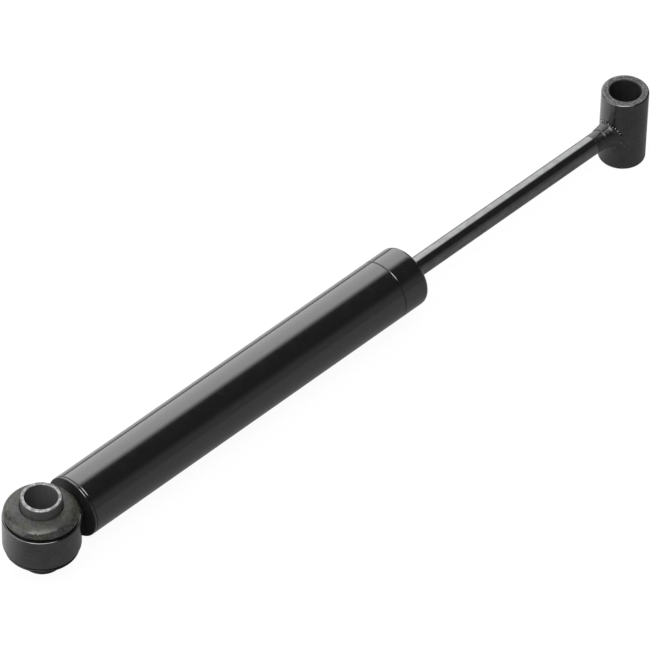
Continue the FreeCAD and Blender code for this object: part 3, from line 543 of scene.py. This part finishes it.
def band_plastic():
    """Brown filled plastic of the piston's band, machined round."""
    plastic = Finish("band_plastic", IOR=1.45)
    fibres = plastic.noise(1.0, 5, 0.6, plastic.stretched((2200, 400, 400)))
    plastic.link(plastic.mix(fibres, (0.07, 0.05, 0.035, 1), (0.13, 0.095, 0.07, 1)), "Base Color")
    plastic.link(plastic.ramp(fibres, 0.3, 0.7, 0.35, 0.5), "Roughness")
    plastic.bump(fibres, 0.01 * MM)
    return plastic.material


rod_eye_low, rod_eye_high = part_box("rod_eye")
ROD_EYE_X = (rod_eye_low.x + rod_eye_high.x) / 2
ROD_EYE_RADIUS = (rod_eye_high.x - rod_eye_low.x) / 2
ROD_EYE_BORE = ROD_EYE_RADIUS - EYE_WALL
RING_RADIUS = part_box("eye_ring")[1].x

FINISHES = {
    "gloss_paint": gloss_paint(),
    "satin_paint": satin_paint("satin_paint", 0.010, 0.020, 0.14),
    "ring_paint": satin_paint("ring_paint", 0.023, 0.035, 0.08),
    "rod_paint": satin_paint("rod_paint", 0.006, 0.013, 0.1),
    "shaded_paint": shaded_paint(),
    "end_face_paint": end_face_paint(
        ROD_EYE_X, ROD_EYE_BORE + MOUTH_EDGE, ROD_EYE_RADIUS - OUTER_EDGE,
    ),
    "bore_paint": bore_paint(),
    "weld_paint": weld_paint(),
    "painted_toe_shade": painted_toe_shade(),
    "spatter_steel": spatter_steel(),
    "bush_rubber": bush_rubber(),
    "sleeve_steel": sleeve_face(),
    "sleeve_wall": sleeve_wall("sleeve_wall", 0.085, 0.165),
    # The bore takes a lighter copy of the wall's steel, as painted light inside it
    "sleeve_bore_painted_light": sleeve_wall("sleeve_bore_painted_light", 0.13, 0.26),
    "rod_chrome": rod_chrome(),
    "tube_steel": hidden_metal("tube_steel", grey(0.5), 0.22),
    "turned_steel": hidden_metal("turned_steel", (0.55, 0.55, 0.54, 1), 0.3),
    "spring_steel": hidden_metal("spring_steel", (0.4, 0.41, 0.44, 1), 0.28),
    "sintered_iron": hidden_metal("sintered_iron", grey(0.24), 0.5, relief=0.03 * MM),
    "bush_bronze": hidden_metal("bush_bronze", (0.6, 0.42, 0.2, 1), 0.35),
    "band_plastic": band_plastic(),
    "seal_rubber": seal_rubber(),
}


def dress_frame():
    """Gives each CAD node the finish of its material slot."""
    for part in frame["record"]["subparts"]:
        node = frame["nodes"][part["node"]]
        node.data.materials.clear()
        node.data.materials.append(FINISHES[part["material_slot"]])


def swap_in(piece, *nodes):
    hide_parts(*nodes)
    return piece


def saddle(place, tube_centre, tube_radius, sink, facing):
    """Keeps a point outside an upright tube, on the side that facing gives."""
    reach = tube_radius - sink
    across = min(abs(place.y), reach)
    wall = tube_centre + facing * math.sqrt(reach**2 - across**2)
    if (place.x - wall) * facing < 0:
        place.x = wall
    return place


def make_ring():
    """Ring cut from tube, with a glossier rim on top where the paint has gathered."""
    low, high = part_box("eye_ring")
    inner = high.x - RING_WALL
    corners = [
        (low.z, inner, RING_MOUTH_EDGE),
        (low.z, high.x, RING_EDGE),
        (high.z, high.x, RING_EDGE),
        (high.z, inner, RING_MOUTH_EDGE),
    ]
    rim = high.z - RING_EDGE
    ring = turned("eye_ring_shell", rounded(corners), "Z", (0, 0, 0), "cylinder",
                  [FINISHES["ring_paint"], FINISHES["gloss_paint"]], segments=224,
                  finish_at=lambda along, radius: 1 if along > rim else 0)
    return swap_in(ring, "eye_ring")


def make_bush():
    """Rubber that fills the ring: domed flange, curled-in rim, parting lines and a dusty skin."""
    ring_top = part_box("eye_ring")[1].z
    low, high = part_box("eye_bush")
    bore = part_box("eye_sleeve")[1].x + RUNNING_GAP
    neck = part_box("eye_ring")[1].x - RING_WALL

    def dome(crest, flange):
        """(radius, height) points of a flange, from the sleeve over the shoulder to its neck."""
        return through([
            (bore, crest - 0.7 * MM),
            (bore + 0.3 * MM, crest + 0.05 * MM),
            (bore + 1.0 * MM, crest + 0.4 * MM),
            (bore + 2.4 * MM, crest + 0.2 * MM),
            (flange - 5.6 * MM, crest - 0.3 * MM),
            (flange - 3.6 * MM, crest - 1.1 * MM),
            (flange - 1.7 * MM, crest - 2.4 * MM),
            (flange - 0.6 * MM, crest - 3.9 * MM),
            (flange, ring_top + 3.0 * MM),
            (flange - 0.3 * MM, ring_top + 2.3 * MM),
            (flange - 1.2 * MM, ring_top + 1.9 * MM),
            (neck + 0.6 * MM, ring_top + 1.7 * MM),
            (neck - 0.05 * MM, ring_top - 0.3 * MM),
        ], 4)

    upper = [(height, radius) for radius, height in dome(high.z, high.x)]
    lower = [(-height, radius) for radius, height in reversed(dome(-low.z, high.x - 0.5 * MM))]
    bush = turned("rubber_bush", upper + lower, "Z", (0, 0, 0), "cylinder",
                  [FINISHES["bush_rubber"]], segments=288)
    flange = high.x

    def weather(place):
        """Uneven skin on the flanges, with a groove at each parting line of the mould."""
        if abs(place.z) < ring_top + 1.2 * MM:
            return place
        radius = math.hypot(place.x, place.y)
        if radius < bore + 0.8 * MM:
            return place
        turn = math.atan2(place.y, place.x)
        push = 0.07 * MM * rough(place, 5 * MM) + 0.035 * MM * rough(place, 1.4 * MM, 3.0)
        for line in PART_LINES:
            away = abs((turn - math.radians(line) + math.pi) % (2 * math.pi) - math.pi) * radius
            push -= PART_LINE_DEPTH * max(0.0, 1 - away / PART_LINE_REACH)
        if radius > flange - 0.1 * MM:
            push = min(push, 0.0)
        upward = Vector((0, 0, math.copysign(0.8, place.z)))
        outward = Vector((place.x, place.y, 0)).normalized() * 0.6 + upward
        return place + outward * push

    reshape(bush, weather)
    return swap_in(bush, "eye_bush")


def make_sleeve():
    """Drawn sleeve with faced ends."""
    low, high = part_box("eye_sleeve")
    inner = high.x - SLEEVE_WALL
    corners = [
        (low.z, inner, SLEEVE_MOUTH_EDGE),
        (low.z, high.x, SLEEVE_EDGE),
        (high.z, high.x, SLEEVE_EDGE),
        (high.z, inner, SLEEVE_MOUTH_EDGE),
    ]
    edge = high.z - 0.35 * MM

    def kind(along, radius):
        if abs(along) > edge:
            return 1
        # Kind 2, the bore, gets the lighter steel that is painted light
        return 2 if radius < inner + 0.5 * MM else 0

    sleeve = turned("bush_sleeve", rounded(corners), "Z", (0, 0, 0), "eye_sleeve",
                    [FINISHES["sleeve_wall"], FINISHES["sleeve_steel"], FINISHES["sleeve_bore_painted_light"]],
                    segments=192, finish_at=kind)
    return swap_in(sleeve, "eye_sleeve")


def make_base():
    """Closing disc: flat face, narrow rim up to the seam, spigot, and a boss coped to the ring."""
    low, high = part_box("base_cap")
    ring_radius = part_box("eye_ring")[1].x
    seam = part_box("reservoir_tube")[0].x
    face = seam - BASE_RIM
    spigot = high.y - TUBE_WALL
    corners = [
        (low.x, 0, 0),
        (low.x, BOSS_RADIUS, 0),
        (face, BOSS_RADIUS, INNER_EDGE),
        (face, high.y, SOFT_EDGE),
        (seam - SEAM_GAP, high.y, SOFT_EDGE),
        (seam - SEAM_GAP, high.y - SEAM_DEPTH, 0),
        (seam, high.y - SEAM_DEPTH, 0),
        (seam, spigot, 0),
        (high.x, spigot, SPIGOT_EDGE),
        (high.x, BASE_CUP_RADIUS, INNER_EDGE),
        (face + BASE_PLATE, BASE_CUP_RADIUS, INNER_EDGE),
        (face + BASE_PLATE, 0, 0),
    ]
    # The face behind the ring takes the dull copy of the paint, as painted shade
    base = turned("base_disc", rounded(corners), "X", (0, 0, 0), "cylinder",
                  [FINISHES["gloss_paint"], FINISHES["shaded_paint"]], segments=224,
                  finish_at=lambda along, radius: 1 if along < face + 0.1 * MM else 0)
    reshape(base, lambda place: saddle(place, 0, ring_radius, COPE_SINK, 1))
    return swap_in(base, "base_cap")


def make_tube():
    """Outer tube, with a shallow groove at the seam on each end."""
    low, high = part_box("reservoir_tube")
    inner = high.y - TUBE_WALL
    corners = [
        (low.x, inner, 0),
        (low.x, high.y - SEAM_DEPTH, 0),
        (low.x + SEAM_GAP, high.y - SEAM_DEPTH, 0),
        (low.x + SEAM_GAP, high.y, SOFT_EDGE),
        (high.x - SEAM_GAP, high.y, SOFT_EDGE),
        (high.x - SEAM_GAP, high.y - SEAM_DEPTH, 0),
        (high.x, high.y - SEAM_DEPTH, 0),
        (high.x, inner, 0),
    ]
    tube = turned("outer_tube", rounded(corners), "X", (0, 0, 0), "cylinder",
                  [FINISHES["gloss_paint"]], segments=256)
    return swap_in(tube, "reservoir_tube")


def make_cap():
    """Cup over the rod end, with a rounded corner and the wiper's seat."""
    low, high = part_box("end_cap")
    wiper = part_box("rod_wiper")[1].y
    seam = low.x + CAP_SPIGOT
    spigot = high.y - TUBE_WALL
    corners = [
        (low.x, CAP_INNER_RADIUS, 0),
        (low.x, spigot, INNER_EDGE),
        (seam, spigot, 0),
        (seam, high.y - SEAM_DEPTH, 0),
        (seam + SEAM_GAP, high.y - SEAM_DEPTH, 0),
        (seam + SEAM_GAP, high.y, SOFT_EDGE),
        (high.x, high.y, CAP_CORNER),
        (high.x, wiper, CAP_MOUTH_EDGE),
        (high.x - WIPER_SEAT, wiper, 0),
        (high.x - WIPER_SEAT, CAP_HOLE_RADIUS, 0),
        (high.x - CAP_WALL, CAP_HOLE_RADIUS, 0),
        (high.x - CAP_WALL, CAP_INNER_RADIUS, 0),
    ]
    cap = turned("end_cap_shell", rounded(corners), "X", (0, 0, 0), "cylinder",
                 [FINISHES["gloss_paint"]], segments=256)
    return swap_in(cap, "end_cap")


def make_wiper():
    """Rubber ring in the cap's mouth, whose lip stands out along the rod."""
    low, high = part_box("rod_wiper")
    lip = ROD_RADIUS + RUNNING_GAP
    relief = lip + WIPER_RELIEF
    face = low.x + WIPER_SEAT
    corners = [
        (low.x, relief, 0),
        (low.x, high.y, 0.15 * MM),
        (face, high.y, 0.2 * MM),
        (face, high.y - WIPER_LAND, 0.15 * MM),
        (high.x, lip + WIPER_TIP, 0.12 * MM),
        (high.x, lip, 0.05 * MM),
        (face, lip, 0),
        (face - WIPER_LEAD, relief, 0),
    ]
    wiper = turned("wiper_ring", rounded(corners), "X", (0, 0, 0), "cylinder",
                   [FINISHES["seal_rubber"]], segments=128)
    return swap_in(wiper, "rod_wiper")


def make_rod():
    """Rod with its hidden spigot and groove, chromed up to the paint and coped to the rod eye."""
    low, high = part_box("piston_rod")
    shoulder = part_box("backing_washer")[1].x
    stop_low, stop_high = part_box("rebound_stop")
    painted = ROD_RADIUS + PAINT_FILM
    near = 0.05 * MM
    corners = [
        (low.x, 0, 0),
        (low.x, SPIGOT_RADIUS, ROD_END_EDGE),
        (shoulder, SPIGOT_RADIUS, 0),
        (shoulder, ROD_RADIUS, INNER_EDGE),
        (stop_low.x, ROD_RADIUS, 0),
        (stop_low.x, GROOVE_RADIUS, 0),
        (stop_high.x, GROOVE_RADIUS, 0),
        (stop_high.x, ROD_RADIUS, 0),
        (PAINT_EDGE, ROD_RADIUS, 0),
        (PAINT_EDGE + PAINT_SLOPE, painted, 0),
        (high.x, painted, 0),
        (high.x, 0, 0),
    ]
    rod = turned("damper_rod", rounded(corners), "X", (0, 0, 0), "rod",
                 [FINISHES["rod_chrome"], FINISHES["rod_paint"]], segments=128,
                 finish_at=lambda along, radius: 1 if along > PAINT_EDGE else 0)

    def finish_end(place):
        """Lets the paint's edge wander, and copes the rod's end to the rod eye."""
        if abs(place.x - PAINT_EDGE) < PAINT_SLOPE + near:
            place.x += PAINT_WANDER * rough(place, 3 * MM, 2.0)
        if place.x > high.x - near:
            place.x = ROD_EYE_X - math.sqrt((ROD_EYE_RADIUS - COPE_SINK)**2 - place.y**2)
        return place

    reshape(rod, finish_end)
    return swap_in(rod, "piston_rod")


def make_rod_eye():
    """Plain eye: a length of thick tube, sawn, rounded at its edges and painted."""
    low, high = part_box("rod_eye")
    outer, inner = ROD_EYE_RADIUS, ROD_EYE_BORE
    corners = [
        (low.z, inner, MOUTH_EDGE),
        (low.z, outer, FOOT_EDGE),
        (high.z, outer, OUTER_EDGE),
        (high.z, inner, MOUTH_EDGE),
    ]

    def kind(along, radius):
        if radius < inner + MOUTH_EDGE * 0.85:
            return 2
        if min(along - low.z, high.z - along) < 0.1 * MM:
            return 1
        return 3 if along > high.z - OUTER_EDGE else 0

    finishes = ("satin_paint", "end_face_paint", "bore_paint", "gloss_paint")
    eye = turned("rod_eye_tube", rounded(corners), "Z", (ROD_EYE_X, 0, 0), "rod",
                 [FINISHES[finish] for finish in finishes], segments=192, finish_at=kind)
    return swap_in(eye, "rod_eye")


# Where the rod eye's bead carries painted shade along its toe, in degrees from +Y towards +Z
TOE_SHADE_FROM = 28
TOE_SHADE_TO = 162


def weld_skin(name, node, tube_x, tube_radius, facing, profile, root, ripples, body, seed, toe_rows):
    """A weld bead round the damper's axis that spreads on to an upright tube.

    profile holds (away from the tube, radius, share that follows the tube's curve), from the toe on the
    tube, and on the upper side its first toe_rows rows of faces carry painted shade along the undercut.
    """
    segments = 180
    curve = through(profile, 3)
    vertices = []
    for step in range(segments):
        turn = 2 * math.pi * step / segments
        for number, (away, radius, follow) in enumerate(curve):
            share = number / (len(curve) - 1)
            hump = math.sin(math.pi * share)
            wave = abs(math.sin(ripples * turn / 2 + 1.3 * share))
            spot = Vector((away, radius * math.cos(turn), radius * math.sin(turn)))
            ripple = 0.025 * MM * hump * (wave - 0.6)
            wander = 0.05 * MM * rough(spot, 4 * MM, seed) * (0.25 + hump)
            grown = radius + ripple + wander
            across, up = grown * math.cos(turn), grown * math.sin(turn)
            flat = tube_x + facing * tube_radius
            beside = min(abs(across), tube_radius)
            curved = tube_x + facing * math.sqrt(tube_radius**2 - beside**2)
            vertices.append(Vector((flat + (curved - flat) * follow + facing * away, across, up)))
        for away, radius in root:
            across, up = radius * math.cos(turn), radius * math.sin(turn)
            curved = tube_x + facing * math.sqrt(tube_radius**2 - across**2)
            vertices.append(Vector((curved + facing * away, across, up)))
    row = len(curve) + len(root)
    faces = []
    for step in range(segments):
        here, there = step * row, (step + 1) % segments * row
        for number in range(row):
            following = (number + 1) % row
            faces.append([here + number, here + following, there + following, there + number])
    bead = new_piece(name, vertices, faces, body, [FINISHES["weld_paint"], FINISHES["painted_toe_shade"]])
    kinds = []
    for step in range(segments):
        # The toe rows on the upper side take the painted shade
        shaded_toe = TOE_SHADE_FROM < 360 * step / segments < TOE_SHADE_TO
        kinds += [1 if shaded_toe and number < toe_rows else 0 for number in range(row)]
    bead.data.polygons.foreach_set("material_index", kinds)
    return swap_in(bead, node)


def make_rod_weld():
    """Bead on the rod eye: from its toe down a fillet, then a low collar that steps down to the rod."""
    profile = [
        (-0.2 * MM, 10.25 * MM, 1.0),
        (0.06 * MM, 10.0 * MM, 1.0),
        (0.12 * MM, 9.35 * MM, 1.0),
        (0.28 * MM, 8.75 * MM, 1.0),
        (0.55 * MM, 8.25 * MM, 0.8),
        (0.95 * MM, 7.95 * MM, 0.5),
        (1.7 * MM, 7.72 * MM, 0.2),
        (3.0 * MM, 7.5 * MM, 0.0),
        (5.0 * MM, 7.22 * MM, 0.0),
        (6.0 * MM, 7.12 * MM, 0.0),
        (6.5 * MM, 6.95 * MM, 0.0),
        (6.75 * MM, 6.7 * MM, 0.0),
        (6.85 * MM, 6.4 * MM, 0.0),
    ]
    root = [(3.5 * MM, 6.2 * MM), (-0.3 * MM, 6.2 * MM)]
    return weld_skin("rod_eye_bead", "rod_eye_weld", ROD_EYE_X, ROD_EYE_RADIUS, -1,
                     profile, root, 15, "rod", 4.0, 6)


def make_eye_weld():
    """Bead round the boss, from the ring out to the base cap's face."""
    ring_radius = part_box("eye_ring")[1].x
    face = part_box("reservoir_tube")[0].x - BASE_RIM
    gap = face - ring_radius
    profile = [
        (-0.3 * MM, 8.3 * MM, 1.0),
        (0.1 * MM, 8.2 * MM, 1.0),
        (gap * 0.4, 8.2 * MM, 0.8),
        (gap * 0.7, 8.4 * MM, 0.4),
        (gap - 0.15 * MM, 8.7 * MM, 0.1),
        (gap, 8.8 * MM, 0.0),
    ]
    root = [(gap, 6.9 * MM), (0.0, 6.9 * MM)]
    return weld_skin("eye_bead", "eye_weld", 0, ring_radius, 1, profile, root, 18, "cylinder", 9.0, 0)


# The share of its height that a grain of spatter loses on the surface
GRAIN_SQUASH = 0.35


def add_grain(vertices, faces, centre, size, outward):
    """A small squashed bead of spatter on a surface."""
    first = len(vertices)
    mesh = bmesh.new()
    bmesh.ops.create_icosphere(mesh, subdivisions=2, radius=size)
    for vertex in mesh.verts:
        lift = vertex.co.dot(outward)
        vertices.append(centre + vertex.co - outward * lift * GRAIN_SQUASH)
    faces.extend([[first + vertex.index for vertex in face.verts] for face in mesh.faces])
    mesh.free()


# Spatter grains, and where the row of them along the toe starts, in degrees from +Z towards -Y
GRAIN_SEED = 11
TOE_GRAINS = 11
TOE_FROM = -58
TOE_STEP = 12
STRAY_GRAINS = 22
LONE_GRAINS = [(48.5, 9.35, 0.62), (103, 8.5, 0.34), (108, 9.6, 0.3)]


def make_spatter():
    """Grains that the weld threw on to the rod eye: a row along the bead's toe, then strays and lone ones.

    A grain is its angle, its distance from the rod's axis and its size, both in mm.
    """
    chance = random.Random(GRAIN_SEED)
    vertices, faces = [], []
    grains = []
    for number in range(TOE_GRAINS):
        turn = TOE_STEP * number + TOE_FROM + chance.uniform(-3, 3)
        grains.append((turn, chance.gauss(9.55, 0.15), chance.uniform(0.34, 0.58)))
    for _ in range(STRAY_GRAINS):
        turn = chance.uniform(0, 360)
        grains.append((turn, chance.uniform(10.2, 12.5), chance.uniform(0.08, 0.16)))
    grains += LONE_GRAINS
    for turn, reach, size in grains:
        turn = math.radians(turn)
        across, up = -reach * MM * math.sin(turn), reach * MM * math.cos(turn)
        outward = Vector((-math.sqrt(ROD_EYE_RADIUS**2 - across**2), across, 0)).normalized()
        centre = Vector((ROD_EYE_X, 0, up)) + outward * ROD_EYE_RADIUS
        add_grain(vertices, faces, centre, size * MM, outward)
    return new_piece("weld_spatter", vertices, faces, "rod", [FINISHES["spatter_steel"]])


def make_camera():
    """The fitted camera, set by its own axes because it is rolled a little."""
    azimuth, elevation, roll = map(math.radians, (CAMERA_AZIMUTH, CAMERA_ELEVATION, CAMERA_ROLL))
    back = Vector((
        math.sin(azimuth) * math.cos(elevation),
        -math.cos(azimuth) * math.cos(elevation),
        math.sin(elevation),
    ))
    level_right = Vector((math.cos(azimuth), math.sin(azimuth), 0))
    level_up = back.cross(level_right)
    right = level_right * math.cos(roll) + level_up * math.sin(roll)
    up = level_up * math.cos(roll) - level_right * math.sin(roll)
    data = bpy.data.cameras.new("camera")
    data.sensor_width = SENSOR_WIDTH
    data.lens = FOCAL_PIXELS * SENSOR_WIDTH / IMAGE_SIDE
    data.clip_start = 0.1
    data.clip_end = 100.0
    camera = bpy.data.objects.new("camera", data)
    bpy.context.scene.collection.objects.link(camera)
    turn = Matrix((right, up, back)).transposed()
    camera.matrix_world = Matrix.Translation(CAMERA_TARGET + back * CAMERA_DISTANCE) @ turn.to_4x4()
    bpy.context.scene.camera = camera


FLOOR_SIDE = 60.0

# Studio levels: 1 is white
AMBIENT = 0.036
PANEL_LEVEL = 1.24
FILL_LEVEL = 1.2
HORIZON_LEVEL = 0.105
KEY_LEVEL = 3.4
FLOOR_NEAR_LEVEL = 0.2
FLOOR_BEHIND_LEVEL = 0.65
FLOOR_FAR_LEVEL = 0.04
FLOOR_GLOW = 0.95
FLOOR_SHADED = 0.08
FLOOR_BOUNCE = 0.6


def light_world():
    """What reflections see: a panel overhead and behind, a fill on the left, a box over the front, and a
    faint horizon in front. The camera itself sees white.
    """
    world = bpy.data.worlds.new("studio")
    bpy.context.scene.world = world
    world.use_nodes = True
    tree = world.node_tree
    tree.nodes.clear()
    studio = Nodes(tree)
    direction = studio.node("TexCoord").outputs["Generated"]
    parts = studio.node("SeparateXYZ", {"Vector": direction})
    x, y, z = parts.outputs["X"], parts.outputs["Y"], parts.outputs["Z"]
    tilt = studio.math("ARCTAN2", y, z)
    panel = studio.box(
        PANEL_LEVEL, (tilt, math.radians(3), math.radians(26)), (x, 0.9, 0.7), (x, -0.3, -0.05),
    )
    front = studio.ramp(tilt, math.radians(-48), math.radians(-75), 0.0, HORIZON_LEVEL)
    left = studio.box(FILL_LEVEL, (x, -0.4, -0.6), (tilt, math.radians(-35), math.radians(5)))
    key = studio.box(
        KEY_LEVEL,
        (tilt, math.radians(-38), math.radians(-24)),
        (tilt, math.radians(3), math.radians(-3)),
        (x, -0.85, -0.75),
        (x, 0.17, 0.1),
    )
    level = AMBIENT
    for part in (panel, front, left, key):
        level = studio.math("ADD", part, level)
    seen = studio.node("LightPath").outputs["Is Camera Ray"]
    strength = studio.node("Mix", {"Factor": seen, "A": level, "B": 1.0}).outputs[0]
    background = studio.node("Background", {"Color": (1, 1, 1, 1), "Strength": strength})
    output = studio.node("OutputWorld")
    tree.links.new(background.outputs[0], output.inputs["Surface"])


def floor_material():
    """White where the camera sees it, with the object's shadow.

    In reflections it is a glow of painted light that falls off away from the object, with a painted shadow
    under the two eyes.
    """
    material = bpy.data.materials.new("studio_floor")
    material.use_nodes = True
    tree = material.node_tree
    tree.nodes.clear()
    studio = Nodes(tree)
    parts = studio.node("SeparateXYZ", {"Vector": studio.node("TexCoord").outputs["Object"]})
    x, y = parts.outputs["X"], parts.outputs["Y"]
    # Painted light: in reflections the floor is brighter behind the object than in front and far off
    behind = studio.ramp(y, -0.02, 0.06, FLOOR_NEAR_LEVEL, FLOOR_BEHIND_LEVEL)
    distance = studio.ramp(y, 0.15, 0.5)
    open_floor = studio.node("Mix", {"Factor": distance, "A": behind, "B": FLOOR_FAR_LEVEL}).outputs[0]
    from_ring = studio.radius(x, y)
    from_rod_eye = studio.radius(studio.math("SUBTRACT", x, ROD_EYE_X), y)
    # Painted shadow under the two eyes, in the floor that reflections see
    reflected = studio.box(
        open_floor, (from_ring, 0.8 * RING_RADIUS, 1.1 * RING_RADIUS),
        (from_rod_eye, 0.8 * ROD_EYE_RADIUS, 1.2 * ROD_EYE_RADIUS),
    )
    rays = studio.node("LightPath").outputs
    mirrored = studio.math("MAXIMUM", rays["Is Glossy Ray"], rays["Is Transmission Ray"])
    shaded = studio.node("BsdfDiffuse", {"Color": grey(FLOOR_SHADED)}).outputs[0]
    glow = studio.node("Emission", {"Strength": FLOOR_GLOW}).outputs[0]
    seen = studio.node("AddShader", {0: shaded, 1: glow}).outputs[0]
    bounce = studio.node("BsdfDiffuse", {"Color": grey(FLOOR_BOUNCE)}).outputs[0]
    plain = studio.node("MixShader", {0: rays["Is Camera Ray"], 1: bounce, 2: seen}).outputs[0]
    mirror_view = studio.node("Emission", {"Strength": reflected}).outputs[0]
    mixed = studio.node("MixShader", {0: mirrored, 1: plain, 2: mirror_view}).outputs[0]
    tree.links.new(mixed, studio.node("OutputMaterial").inputs["Surface"])
    return material


def make_floor():
    """A level square far larger than the view, at the height of the object's lowest point."""
    half = FLOOR_SIDE / 2
    height = cad_box[0].z
    mesh = bpy.data.meshes.new("studio_floor")
    mesh.from_pydata(
        [(-half, -half, height), (half, -half, height), (half, half, height), (-half, half, height)],
        [], [(0, 1, 2, 3)],
    )
    floor = bpy.data.objects.new("studio_floor", mesh)
    bpy.context.scene.collection.objects.link(floor)
    mesh.materials.append(floor_material())


make_camera()
light_world()
make_floor()
dress_frame()
make_ring()
make_bush()
make_sleeve()
make_base()
make_eye_weld()
make_tube()
make_cap()
make_wiper()
make_rod()
make_rod_eye()
make_rod_weld()
make_spatter()
bpy.context.scene.view_settings.view_transform = "Standard"
